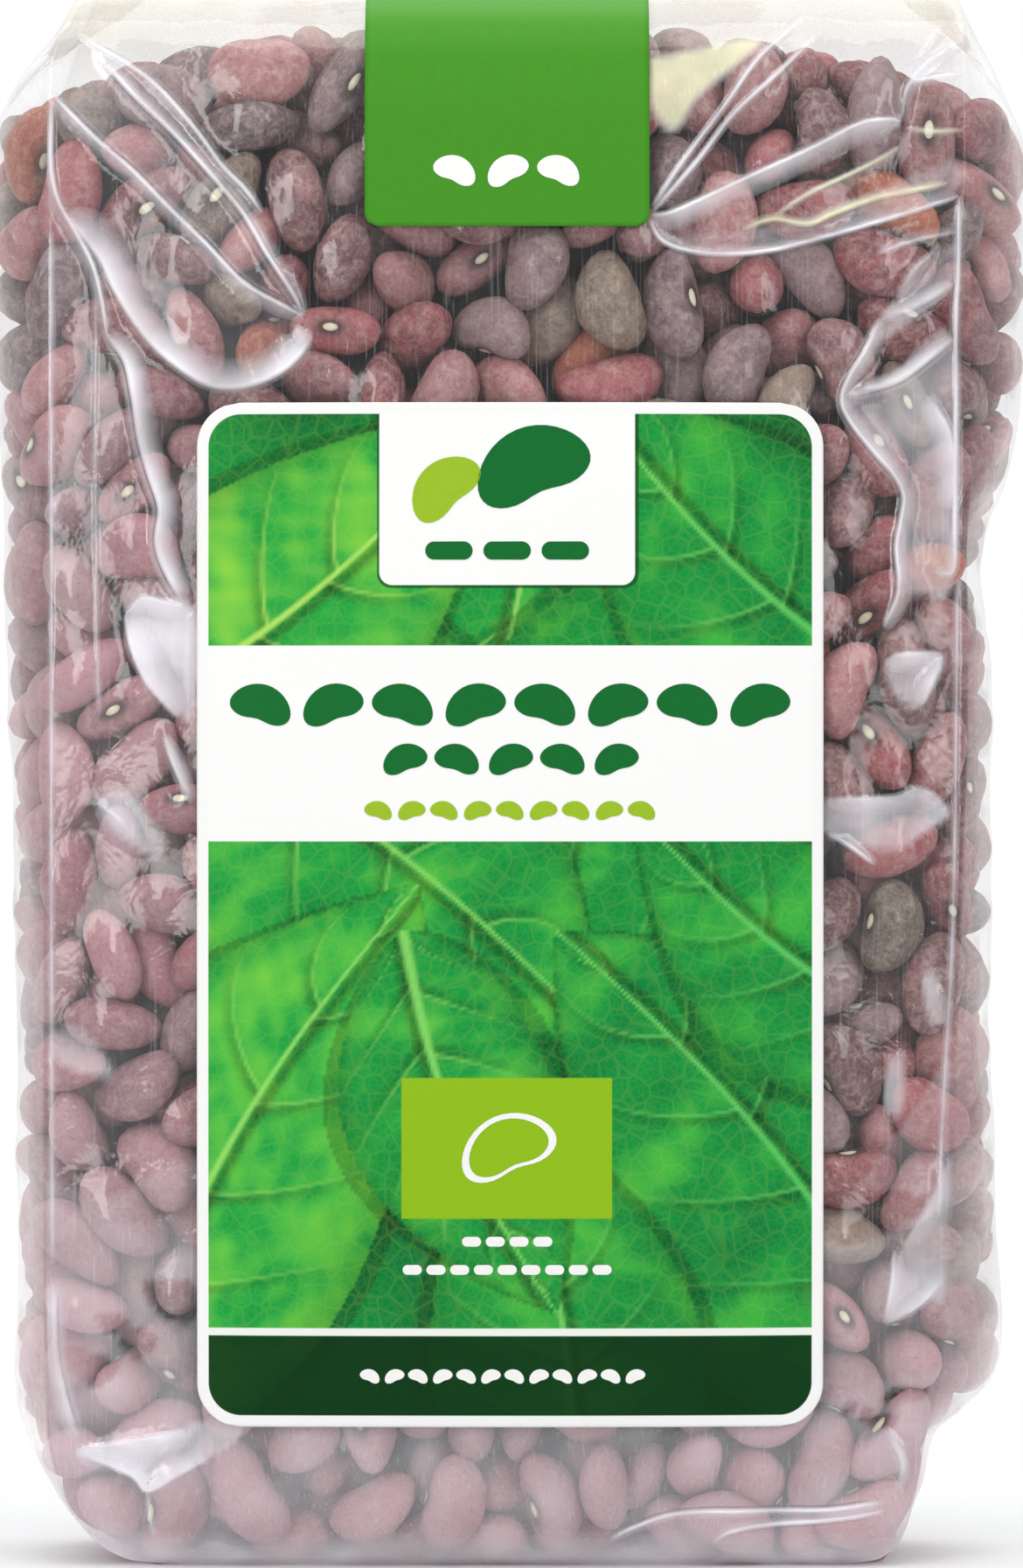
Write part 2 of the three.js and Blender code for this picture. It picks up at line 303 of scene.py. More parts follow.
# Random starting places that keep their distance, and a random turn for each
def scatterBeans(rng):
    tries = rng.uniform(*beans["tryBox"], (beans["tries"], 3))
    tries = tries[depthInside(tries) > beans["startInside"]]
    places = np.full((beans["count"], 3), 1e6)
    placed = 0
    for candidate in tries:
        if placed == beans["count"]:
            break
        if ((places[:placed] - candidate) ** 2).sum(1).min(initial=1e9) > beans["startApart"] ** 2:
            places[placed] = candidate
            placed += 1
    turns = rng.normal(size=(placed, 4))
    return places[:placed], turns / np.linalg.norm(turns, axis=1, keepdims=True)


# Shakes the beans until they lie against each other: balls that overlap push each other apart by half the
# overlap each, which moves and turns their beans, and the walls push back what stands out. The beans start
# at 0.8 of their size and have all of it from halfway on. A bean that many others push moves by their mean.
def packBeans():
    rng = np.random.default_rng(beans["seed"])
    p, q = scatterBeans(rng)
    n = len(p)
    size = rng.normal(beans["size"], beans["sizeSpread"], (n, 1)).clip(*beans["sizeRange"])
    rounds = beans["rounds"]
    for step in range(rounds):
        grown = min(1, 0.8 + 0.4 * step / rounds) * size
        radius = ballRadii[None] * grown
        arm = turned(q, ballPlaces[None] * grown[:, :, None])
        balls = p[:, None] + arm
        if step % beans["listEvery"] == 0:
            near = np.triu(((p[:, None] - p[None]) ** 2).sum(2) < beans["listWithin"] ** 2, 1)
            i, j = np.nonzero(near)
            gaps = ((balls[i][:, :, None] - balls[j][:, None]) ** 2).sum(3)
            pair, a, b = np.nonzero(gaps < beans["listBalls"] ** 2)
            i, j = i[pair], j[pair]
        apart = balls[i, a] - balls[j, b]
        distance = np.sqrt((apart ** 2).sum(1)) + 1e-9
        overlap = radius[i, a] + radius[j, b] - distance
        hit = overlap > 0
        hi, hj = i[hit], j[hit]
        normal = apart[hit] / distance[hit, None]
        armI, armJ = arm[hi, a[hit]], arm[hj, b[hit]]
        half = 0.5 * overlap[hit, None] * normal
        moveI = half / (1 + (np.cross(armI, normal) ** 2).sum(1, keepdims=True) / beanInertia)
        moveJ = -half / (1 + (np.cross(armJ, normal) ** 2).sum(1, keepdims=True) / beanInertia)
        turnI, turnJ = np.cross(armI, moveI) / beanInertia, np.cross(armJ, moveJ) / beanInertia
        sums = np.stack([np.bincount(hi, ofI[:, k], n) + np.bincount(hj, ofJ[:, k], n) for ofI,
            ofJ in ((moveI, moveJ), (turnI, turnJ)) for k in range(3)], axis=1)
        push = wallPush(balls.reshape(-1, 3), radius.ravel() + beans["wallGap"]).reshape(arm.shape)
        unit = push / (np.linalg.norm(push, axis=2, keepdims=True) + 1e-9)
        push = push / (1 + (np.cross(arm, unit) ** 2).sum(2, keepdims=True) / beanInertia)
        sums[:, :3] += push.sum(1)
        sums[:, 3:] += np.cross(arm, push).sum(1) / beanInertia
        touches = np.bincount(hi, minlength=n) + np.bincount(hj, minlength=n) + (unit != 0).any(2).sum(1)
        sums *= (1.5 / np.maximum(touches, 1.5))[:, None]
        p, q = p + sums[:, :3], spun(q, sums[:, 3:])
    for _ in range(beans["wallRounds"]):  # at last only the walls push, each bean by its ball furthest out
        arm = turned(q, ballPlaces[None] * size[:, :, None])
        push = wallPush((p[:, None] + arm).reshape(-1, 3), (ballRadii * size).ravel() + beans["wallGap"])
        push = push.reshape(arm.shape)
        p = p + 0.6 * push[np.arange(n), (push ** 2).sum(2).argmax(1)]
    print("packed", n, "beans, mean overlap", round(float(overlap[hit].mean()), 3), "mm")
    return p, q, size[:, 0]


# A kidney bean's skin for directions given by phi, the angle from its eye, and theta, the angle round it.
# It is an ellipsoid whose ends bend towards the eye, with one end plumper, a shallow dent at the eye and low
# lumps from slow waves along it.
def beanSkin(phi, theta, looks):
    across, side, flat = np.sin(phi) * np.cos(theta), -np.cos(phi), np.sin(phi) * np.sin(theta)
    plump = 1 + looks["taper"] * across
    x = 0.5 * beans["length"] * looks["long"] * across
    y = 0.5 * beans["width"] * looks["wide"] * side * plump
    z = 0.5 * beans["thickness"] * looks["thick"] * flat * plump
    y = y - looks["bend"] * (across ** 2 - 0.3)
    y = y + looks["dent"] * np.exp(-(x / 3.2) ** 2) * np.clip(side * -1, 0, 1) ** 3
    lumps = 0.11 * np.sin(2.3 * x / 2 + looks["phase"]) * np.sin(1.7 * z + looks["phase"] * 2)
    return np.stack([x, y + lumps * 0.6, z * (1 + 0.03 * np.sin(x * 0.8 + looks["phase"]))], axis=-1)


# How beans differ, each as [mean, spread, least, most]: shares of their length, width and thickness, how
# much plumper one end is, and how far in mm the ends bend and the eye's dent goes
beanShapes = {
    "long": (0.99, 0.06, 0.84, 1.12),
    "wide": (1, 0.045, 0.9, 1.1),
    "thick": (1, 0.055, 0.88, 1.12),
    "taper": (0, 0.06, -0.12, 0.12),
    "bend": (1.15, 0.35, 0.4, 2.0),
    "dent": (0.5, 0.15, 0.2, 0.8),
}


# Each bean's own proportions, drawn once
def drawLooks(count, size, rng):
    looks = {}
    for name, (mean, spread, least, most) in beanShapes.items():
        looks[name] = rng.normal(mean, spread, (count, 1)).clip(least, most)
    for name in ("long", "wide", "thick"):
        looks[name] = looks[name] * size[:, None]
    looks["phase"] = rng.uniform(0, 6.28, (count, 1))
    return looks


beanGrid = {
    # angles from the eye: a pole, the rings and a pole; the first two rings lie under the eye
    "rings": [0.1, 0.19, 0.27, 0.42, 0.68, 1.0, 1.32, 1.64, 1.96, 2.28, 2.6, 2.9],
    "around": 20,
    "darkRings": [0.6, 0.9, 0.75, 0.25],  # how dark the first rings are
    "eyeRings": [0.085, 0.155, 0.2],
    "eyeEdge": [0, 0.45, 1],
    "eyeMiddle": 0.1,  # how far the eye stands off the skin in its middle and at its rings
    "eyeLift": [0.07, 0.05, -0.12],
    "fine": (22, 36),  # rings and points round each, for the film to rest on
}


# The points of each bean's skin at one pole, on the rings and at the other pole: (count, points, 3)
def beanPoints(looks, rings, bothPoles):
    theta = np.tile(np.arange(beanGrid["around"]) * 2 * math.pi / beanGrid["around"], len(rings))
    phi = np.repeat(np.array(rings), beanGrid["around"])
    if bothPoles:
        theta, phi = np.r_[theta, 0], np.r_[phi, math.pi]
    return beanSkin(np.r_[0, phi][None], np.r_[0, theta][None], looks)


# The faces of one such skin: a fan of triangles at each pole and quads between the rings
def beanFaces(ringCount, bothPoles):
    around = beanGrid["around"]
    ring = np.arange(around)
    after = (ring + 1) % around
    cap = np.stack([np.zeros(around, int), 1 + ring, 1 + after], axis=1)
    quads = 1 + np.roll(gridFaces(ringCount, around, wrapped=True)[:, ::-1], 1, axis=1)
    if not bothPoles:
        return [cap, quads]
    last = 1 + (ringCount - 1) * around
    end = np.stack([np.full(around, 1 + ringCount * around), last + after, last + ring], axis=1)
    return [np.concatenate([cap, end]), quads]


# The same faces for each of so many copies
def repeated(faces, copies, pointsEach):
    shift = (np.arange(copies) * pointsEach)[:, None, None]
    return [(shift + f).reshape(-1, f.shape[1]) for f in faces]


# Dried red kidney bean: a thin seed coat, satin but dusty from rubbing in the bag. Its colour runs in
# patches from a deep tone to a redder one, with a pale bloom of dust in blotches and fine specks.
beanKinds = {
    "beansPlum": {"share": 0.31, "deep": "643c3f", "main": "a16b6d", "bloom": "c3aca4"},
    "beansMaroon": {"share": 0.27, "deep": "6f333a", "main": "a5575c", "bloom": "c6a29a"},
    "beansRosewood": {"share": 0.17, "deep": "884d50", "main": "b37577", "bloom": "d4b6ae"},
    "beansUmber": {"share": 0.1, "deep": "5d5045", "main": "907c6d", "bloom": "bcac9b"},
    "beansSlate": {"share": 0.13, "deep": "5f494b", "main": "917577", "bloom": "bca9a6"},
    "beansRusset": {"share": 0.02, "deep": "974a38", "main": "bd6b50", "bloom": "d3a58a"},
}
seedCoat = {"patch": 4.2, "blotch": 1.7, "speck": 0.45, "roughness": 0.56, "paintedPaleness": "c99ca5",
    "eyeRim": "33221f"}


def makeSeedCoat(name, kind):
    material, add = newMaterial(name)
    grain = add("Attribute", attribute_name="grain").outputs["Vector"]
    tone = add("Attribute", attribute_name="tone").outputs["Fac"]
    ring = add("Attribute", attribute_name="eyeRing").outputs["Fac"]
    paintedPaleness = add("Attribute", attribute_name="paintedPaleness").outputs["Fac"]
    patches = add("TexNoise",
        {"Vector": grain, "Scale": 1 / seedCoat["patch"], "Detail": 6.0, "Roughness": 0.68,
        "Distortion": 0.8})
    blotches = add("TexNoise",
        {"Vector": grain, "Scale": 1 / seedCoat["blotch"], "Detail": 5.0, "Roughness": 0.75,
        "Distortion": 0.5})
    specks = add("TexNoise",
        {"Vector": grain, "Scale": 1 / seedCoat["speck"], "Detail": 3.0, "Roughness": 0.7})
    spread = add("Math", {0: patches, 1: tone}, operation="ADD")
    blend = add("MapRange", {"Value": spread, "From Min": 0.8, "From Max": 1.1})
    coat = add("Mix", {"Factor": blend, "A": linear(kind["deep"]), "B": linear(kind["main"])},
        data_type="RGBA")
    bloomed = add("MapRange", {"Value": blotches, "From Min": 0.44, "From Max": 0.72, "To Max": 0.78})
    dusty = add("MapRange", {"Value": specks, "From Min": 0.5, "From Max": 0.72, "To Max": 0.4})
    dust = add("Math", {0: bloomed, 1: dusty}, operation="MAXIMUM")
    dusted = add("Mix", {"Factor": dust, "A": coat, "B": linear(kind["bloom"])}, data_type="RGBA")
    # painted light: a paler colour mixed in by each bean's paleness stands in for brighter light on it
    paledByPaintedLight = add("Mix", {"Factor": paintedPaleness, "A": dusted, "B": linear(seedCoat["paintedPaleness"])}, data_type="RGBA")
    # darker freckles between the pale ones
    freckles = add("MapRange", {"Value": specks, "From Min": 0.44, "From Max": 0.3, "To Max": 0.45})
    freckled = add("Mix", {"Factor": freckles, "A": paledByPaintedLight, "B": linear(kind["deep"])}, data_type="RGBA")
    ringed = add("Mix", {"Factor": ring, "A": freckled, "B": linear(seedCoat["eyeRim"])}, data_type="RGBA")
    rough = add("MapRange",
        {"Value": blotches, "To Min": seedCoat["roughness"] - 0.12, "To Max": seedCoat["roughness"] + 0.2})
    pitted = add("TexNoise", {"Vector": grain, "Scale": 1.1, "Detail": 4.0})
    relief = add("Bump", {"Height": pitted, "Strength": 0.5, "Distance": 0.0004})
    skin = add("BsdfPrincipled", {"Base Color": ringed, "Roughness": rough, "Normal": relief, "IOR": 1.48})
    add("OutputMaterial", {"Surface": skin})
    return material


# Bean eye: the dry, corky scar where the seed hung in its pod, matt cream with a browner edge
def makeEyeScar():
    material, add = newMaterial("corkyBeanEye")
    grain = add("Attribute", attribute_name="grain").outputs["Vector"]
    edge = add("Attribute", attribute_name="eyeRing").outputs["Fac"]
    fibres = add("TexNoise", {"Vector": grain, "Scale": 2.2, "Detail": 3.0})
    mottled = add("MapRange", {"Value": fibres, "From Min": 0.3, "From Max": 0.75, "To Max": 0.5})
    cream = add("Mix", {"Factor": mottled, "A": linear("efe9cf"), "B": linear("c9bd95")}, data_type="RGBA")
    edged = add("Mix", {"Factor": edge, "A": cream, "B": linear("7d6a4b")}, data_type="RGBA")
    skin = add("BsdfPrincipled", {"Base Color": edged, "Roughness": 0.75})
    add("OutputMaterial", {"Surface": skin})
    return material


def makeBeans():
    places, turns, size = packBeans()
    rng = np.random.default_rng(beans["seed"] + 1)
    shown = depthInside(places) < beans["outerLayer"]
    places, turns, size = places[shown], turns[shown], size[shown]
    n = len(places)
    looks = drawLooks(n, size, rng)
    kindEdges = np.cumsum([kind["share"] for kind in beanKinds.values()])
    kindOf = np.searchsorted(kindEdges, rng.random(n) * kindEdges[-1])
    tone = rng.normal(0.45, 0.13, n).clip(0.15, 0.8)
    shift = rng.uniform(0, 900, (n, 1, 3))
    # painted light: beans low in the bag and along its left side are painted paler, as if more brightly lit
    x, _, z = places.T
    low = np.clip((46 - z) / 26, 0, 1)
    side = np.clip((-34 - x) / 14, 0, 1) * np.clip((66 + x) / 9, 0.2, 1) * np.clip((165 - z) / 30, 0, 1)
    paintedPaleness = np.maximum(0.85 * low, 0.62 * side) * rng.uniform(0.5, 1.15, n)

    # half a turn about its length hides or shows a bean's eye: few show at the left and more at the right
    eyeSide = turned(turns, np.tile([[[0.0, -1.0, 0.0]]], (n, 1, 1)))[:, 0, 1] * np.sign(places[:, 1])
    chance = rng.random(n)
    hides = (x < 34) & (eyeSide > 0.1) & (chance < 0.55)
    shows = (x >= 34) & (eyeSide < -0.1) & (chance < 0.3)
    w, a, b, c = turns.T
    turns = np.where((hides | shows)[:, None], np.stack([-a, w, c, -b], axis=1), turns)

    own = beanPoints(looks, beanGrid["rings"], True)
    world = turned(turns, own) + places[:, None]
    each, around, rings = own.shape[1], beanGrid["around"], len(beanGrid["rings"])
    darkRings = beanGrid["darkRings"] + [0] * (rings - len(beanGrid["darkRings"]))
    ringFade = np.r_[0, np.repeat(darkRings, around), 0]
    faces = beanFaces(rings, True)
    for number, (name, kind) in enumerate(beanKinds.items()):
        rows = np.flatnonzero(kindOf == number)
        attributes = {"grain": (own[rows] + shift[rows]).reshape(-1, 3),
            "tone": np.repeat(tone[rows], each), "paintedPaleness": np.repeat(paintedPaleness[rows], each),
            "eyeRing": np.tile(ringFade, len(rows))}
        piece = makePiece(name, world[rows].reshape(-1, 3), repeated(faces, len(rows), each),
            makeSeedCoat("dustySeedCoat" + name[5:], kind), attributes)
        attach(piece, "root")
        print(name, len(rows), "beans")

    scar = beanPoints(looks, beanGrid["eyeRings"], False)
    scar[:, :, 1] -= np.r_[beanGrid["eyeMiddle"], np.repeat(beanGrid["eyeLift"], around)]
    eyeFaces = repeated(beanFaces(len(beanGrid["eyeRings"]), False), n, scar.shape[1])
    attributes = {"grain": (scar + shift).reshape(-1, 3),
        "eyeRing": np.tile(np.r_[0, np.repeat(beanGrid["eyeEdge"], around)], n)}
    eyes = makePiece("beanEyes", (turned(turns, scar) + places[:, None]).reshape(-1, 3), eyeFaces,
        makeEyeScar(), attributes)
    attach(eyes, "root")

    # finer points of the same skins, which the film will rest on
    rings, around = beanGrid["fine"]
    phi = np.linspace(0.08, 3.06, rings)
    theta = np.arange(around) * 2 * math.pi / around
    phi, theta = np.meshgrid(phi, theta, indexing="ij")
    fine = turned(turns, beanSkin(phi.reshape(1, -1), theta.reshape(1, -1), looks)) + places[:, None]
    return fine.reshape(-1, 3)


# The middle of the heap, which no gap shows clearly: a dark lumpy body behind the outer beans, coloured
# dark brown as painted shade for the deep heap. Each ring is the bag's own section drawn in by the inset,
# with bean-sized lumps from two crossed waves.
core = {"inset": 12.5, "bottom": 12.0, "top": 192.0, "rows": 110, "columns": 120, "lump": 1.4,
        "box": 0.35}  # the circle's cosine and sine are raised to this power, for a rounded box


def makeCore():
    material, add = newMaterial("shadowedBeans")
    place = add("TexCoord").outputs["Object"]
    lumps = add("TexVoronoi", {"Vector": place, "Scale": 1000 / 11})
    tint = add("MapRange", {"Value": lumps, "From Max": 0.7})
    # painted shade: dark browns stand for the shadow between the deep beans
    paintedShade = add("Mix", {"Factor": tint, "A": linear("4a2f30"), "B": linear("1a1011")}, data_type="RGBA")
    skin = add("BsdfPrincipled", {"Base Color": paintedShade, "Roughness": 0.6})
    add("OutputMaterial", {"Surface": skin})

    z = np.linspace(core["bottom"], core["top"], core["rows"])[:, None]
    angle = np.linspace(0, 2 * math.pi, core["columns"], endpoint=False)[None]
    reach = np.where(np.cos(angle) < 0, profiles["leftReach"](z), profiles["rightReach"](z)) - core["inset"]
    depth = panelDepth(0 * z, z) - core["inset"]
    x = reach * np.sign(np.cos(angle)) * np.abs(np.cos(angle)) ** core["box"]
    y = depth * np.sign(np.sin(angle)) * np.abs(np.sin(angle)) ** core["box"]
    wave = core["lump"] * np.sin(z / 1.9 + 2 * np.sin(x / 6)) * np.sin((x + y) / 2.3)
    ends = np.clip(np.minimum(z - core["bottom"], core["top"] - z) / 6, 0.02, 1) ** 0.5
    points = np.stack([x * ends + wave * np.cos(angle) * ends, y * ends + wave * np.sin(angle) * ends,
        z + 0 * x], axis=-1)
    points = points.reshape(-1, 3)
    ends = np.array([[0, 0, core["bottom"]], [0, 0, core["top"]]], float)
    columns = core["columns"]
    ring = np.arange(columns)
    low = np.stack([np.full(columns, len(points)), (ring + 1) % columns, ring], axis=1)
    last = len(points) - columns
    high = np.stack([np.full(columns, len(points) + 1), last + ring, last + (ring + 1) % columns], axis=1)
    piece = makePiece("heapCore", np.concatenate([points, ends]),
        [np.concatenate([low, high]), gridFaces(core["rows"], columns, wrapped=True)], material)
    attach(piece, "root")


restingPoints = makeBeans()
makeCore()
print("beans ready")

# The film. One closed skin: rows of points round the bag, from the middle of the bottom to the top ridge.
film = {
    "columns": (208, 34, 92, 34),  # across the front, the right gusset, the back and the left gusset
    "rowStep": 0.9,
    "bottomRows": 14,
    "sag": 0.014,  # how hard the slack film is drawn in between the beans, per mm of radius
    "deepest": -2.2,
    "settleRounds": 320,
    "printFade": 3.0,  # mm from a label's edge to where the film hangs free
}
labelPrint = {"width": 82.0, "middle": 0.4, "bottom": 18.9, "top": 153.0, "corner": 5.7, "stand": 0.6,
    "grid": (336, 206)}
stripPrint = {"width": 37.3, "end": 176.1, "corner": 1.7, "stand": 0.6, "grid": (190, 41)}
creaseColumns = np.cumsum((0,) + film["columns"])

# The folds of slack film on the front. Each row has how far its crest stands out, how wide it is on its left
# and right as one follows the route, how milky it is beside the crest and on it, the milk being partly
# painted highlight, how far light that comes through the label's back is painted on it in yellow, and the
# route in [x, height].
def namedFolds(rows):
    parts = ("height", "widths", "milk", "line", "cream", "route")
    return {name: dict(zip(parts, row)) for name, row in rows.items()}


folds = namedFolds({
    "tongueMain": (1.4, (1.6, 1.2), 0.4, 1.0, 0,
        [(-53.3, 198.5), (-48.9, 193.6), (-43.8, 188.6), (-38.5, 182.7), (-34.5, 177.8), (-31.5, 172.7),
        (-28, 167.3), (-26.7, 164.3)]),
    "tongueUpper": (1.0, (0.9, 1.4), 0.3, 0.85, 0,
        [(-56.3, 201.7), (-47.4, 196), (-41.4, 189.6), (-37.4, 184.2), (-34.5, 181.2), (-32, 177.8)]),
    "tongueFold": (1.3, (1.7, 1.1), 0.45, 1.0, 0,
        [(-26.7, 164.3), (-29.5, 165.8), (-34.5, 168.7), (-39.4, 173.8), (-44.4, 178.7), (-49.3, 183.7),
        (-53.8, 187.6), (-57.3, 191.1), (-60, 194.1)]),
    "tongueRim": (1.2, (4.0, 0.8), 0.9, 0.7, 0,
        [(-58.2, 178.1), (-53.8, 172.7), (-51.4, 167.8), (-47.8, 162.3), (-43.8, 158.4), (-38.9, 155.4),
        (-33.9, 155.4), (-29.5, 157.3), (-26.5, 160.3), (-25.8, 162.8)]),
    "leftSide": (1.2, (0.9, 1.5), 0.45, 0.9, 0,
        [(-59.8, 193.5), (-59.9, 184.6), (-58.9, 179.7), (-56.7, 175.7), (-54.3, 170.8), (-52.9, 164.7),
        (-52.5, 161.5)]),
    "leftStreak": (1.5, (2.6, 1.5), 0.95, 0.8, 0,
        [(-52.7, 162.1), (-50.1, 158.7), (-48.9, 153.7), (-48.1, 148.2), (-46.8, 143.5), (-45.5, 139.3),
        (-45.9, 135.1), (-45.1, 131.8), (-42.6, 127.1)]),
    "leftPatchEdge": (0.7, (3.6, 0.7), 0.8, 0.95, 0,
        [(-50.1, 125.4), (-49.3, 121.1), (-47.3, 116.6), (-44.3, 113.1), (-43, 111.9)]),
    "leftPatchTop": (0.5, (0.8, 2.6), 0.7, 0.5, 0,
        [(-50.1, 125.4), (-47.9, 127.4), (-44.5, 126.7), (-41.2, 126)]),
    "leftLow": (1.2, (1.6, 0.9), 0.8, 0.8, 0, [(-45.1, 109.7), (-43.8, 106), (-41.3, 100.5)]),
    "leftLowPatch": (0.8, (2.4, 2.6), 0.55, 0.0, 0, [(-54, 100.5), (-51.4, 98.8), (-48.5, 95.9)]),
    "rightThinA": (0.5, (0.6, 0.6), 0.15, 0.75, 0,
        [(18.9, 177.9), (24.9, 184.8), (29.8, 191.2), (35, 196), (40.6, 201.6)]),
    "rightThinB": (0.5, (0.6, 0.6), 0.15, 0.75, 0,
        [(18.9, 178.6), (22.8, 184.5), (28.1, 191.6), (33, 198.5), (39.3, 204.5)]),
    "rightThick": (1.5, (0.7, 2.6), 0.62, 1.0, 0,
        [(18.6, 177.5), (21.3, 177.9), (25.2, 179.6), (30.5, 182.1), (35.7, 184.5), (41, 187),
        (46.2, 189.7), (50.5, 190.4), (51.8, 189.7)]),
    "rightLow": (1.1, (1.6, 0.6), 0.4, 0.95, 0,
        [(18.6, 177.2), (20.3, 174.4), (23.9, 173), (28.8, 172.6), (34, 173), (40, 174.4), (46.2, 176.2),
        (51.8, 177.9), (56.7, 179.5), (59.3, 180.4)]),
    "rightLowSecond": (0.6, (1.2, 0.6), 0.3, 0.6, 0, [(48.3, 172.6), (53.2, 174.4), (59.2, 175.8)]),
    "rightCream": (0.8, (1, 0.7), 0.6, 0.95, 1.0,
        [(30.8, 175.8), (35, 177.2), (39.3, 176.5), (42.7, 177.9), (48.3, 180), (53.2, 181.1),
        (57.8, 182.1)]),
    "rightCreamThin": (0.5, (0.6, 0.6), 0.25, 0.7, 0.8,
        [(35, 177.5), (39.3, 180.4), (44.9, 183.1), (49, 185.2), (51.8, 187)]),
    "rightCreamEdge": (0.5, (0.7, 0.7), 0.4, 0.8, 0.8, [(52.5, 189.3), (56, 188.9), (59.8, 189.1)]),
    "rightEar": (1.2, (1.6, 1.0), 0.4, 0.6, 0, [(59.6, 200.4), (55.8, 198.3), (52.6, 194.6), (51.8, 190)]),
    "rightEarFan": (0.6, (0.6, 1.0), 0.3, 0.8, 0, [(52.8, 195.2), (56, 196), (60, 196.4)]),
    "rightEarRay": (0.4, (0.5, 0.6), 0.25, 0.55, 0, [(52.4, 197.6), (54.6, 199.6), (57, 203)]),
    "rightCrease": (0.7, (1, 0.8), 0.35, 0.85, 0,
        [(59.4, 180.4), (59.3, 176.8), (59.2, 170.6), (58.9, 163.6), (58.9, 150.7), (58.8, 132.6)]),
    "rightRay": (1.0, (1.5, 1.2), 0.6, 0.6, 0, [(49, 164.3), (53.2, 165.7), (58.6, 168.9)]),
    "rightRayShort": (0.8, (1, 1.2), 0.5, 0.3, 0, [(51.2, 166.8), (53.2, 170.2), (56, 173)]),
    "rightShoulder": (1.3, (1.2, 1.5), 0.75, 0.75, 0,
        [(58.6, 161.8), (55.3, 159), (51.5, 156.2), (47.3, 154.8), (44.5, 154.1)]),
    "rightWinding": (1.4, (1.9, 0.9), 0.6, 0.95, 0,
        [(49, 164.3), (47.3, 160.4), (44.9, 156.5), (43.9, 153.4), (45.2, 150.4), (48.3, 146.6),
        (50.9, 143.6), (52.1, 140.9), (51.7, 137.6), (51.1, 134.2), (51.3, 129.9), (51, 127.3),
        (49.4, 123.5)]),
    "rightGloss": (1.0, (1.2, 2.6), 0.75, 0.3, 0,
        [(55, 154), (56.3, 152.3), (58, 149.2), (58.6, 144.5), (58.2, 139)]),
    "rightGlossLow": (0.7, (1.6, 0.8), 0.5, 0.6, 0,
        [(56, 131.2), (58.1, 130.7), (58.8, 132.6), (58.6, 137.6)]),
    "rightFlapTop": (1.2, (0.8, 3), 0.75, 0.6, 0, [(49.4, 119), (52.4, 120.1), (57.3, 120.1)]),
    "rightFlapSide": (1.1, (0.7, 2.4), 0.7, 0.9, 0, [(57.3, 119.8), (55.8, 116.7), (54.3, 113.3)]),
    "bandLine": (0.6, (1.4, 0.6), 0.5, 0.9, 0, [(42, 96.8), (45, 95), (48.3, 92.5)]),
    "bandTop": (0.9, (0.6, 2.2), 0.45, 0.4, 0,
        [(41.9, 101), (50.5, 101.3), (53.8, 102.4), (56.3, 101.3), (58, 99.2)]),
    "lowLeftCrease": (0.8, (1.6, 1.8), 0.6, 0.5, 0,
        [(-59.6, 37.5), (-59.4, 28.7), (-58.2, 22.4), (-56.6, 17)]),
    "lowLeftFoldDown": (0.6, (0.7, 0.7), 0.4, 0.7, 0.5, [(-47.3, 10.2), (-47, 7), (-46.6, 3.9)]),
    "silverTop": (1.4, (0.6, 3.4), 0.8, 0.1, 0, [(-57, 15.4), (-49.1, 16.7), (-42, 18.2)]),
    "silverLow": (1.2, (2.6, 0.5), 0.75, 0.5, 0,
        [(-57, 15.4), (-49.5, 12.3), (-47.3, 10.2), (-43.5, 12.2), (-39.2, 14.6)]),
    "lowRightA": (0.9, (0.7, 1.8), 0.5, 0.7, 0, [(49.7, 32), (50.6, 37.3), (51, 42)]),
    "lowRightB": (0.9, (1.8, 0.8), 0.5, 0.6, 0, [(50.1, 32.4), (54, 34.6), (57.6, 38.4)]),
    "lowRightC": (0.7, (1.2, 1.2), 0.5, 0.3, 0, [(50, 18.4), (52, 14), (51.4, 10.2)]),
    "bottomFold": (0.8, (0.7, 1), 0.5, 1.0, 0,
        [(13.5, 3.6), (16.5, 5.2), (22.6, 7.1), (33.2, 7.6), (42.1, 7.6), (49.4, 8.8)]),
    "bottomFoldLow": (0.5, (0.9, 0.6), 0.45, 0.9, 0,
        [(27, 3.2), (29.4, 4.9), (34.6, 5.7), (42.1, 6.2), (49.6, 7.6)]),
})

# The back is slack in much the same places, so these folds run on it too
backFolds = ("tongueMain", "tongueFold", "tongueRim", "leftSide", "leftStreak", "rightThick", "rightLow",
    "rightCrease", "rightShoulder", "rightWinding", "lowLeftCrease", "bottomFold", "bottomFoldLow")
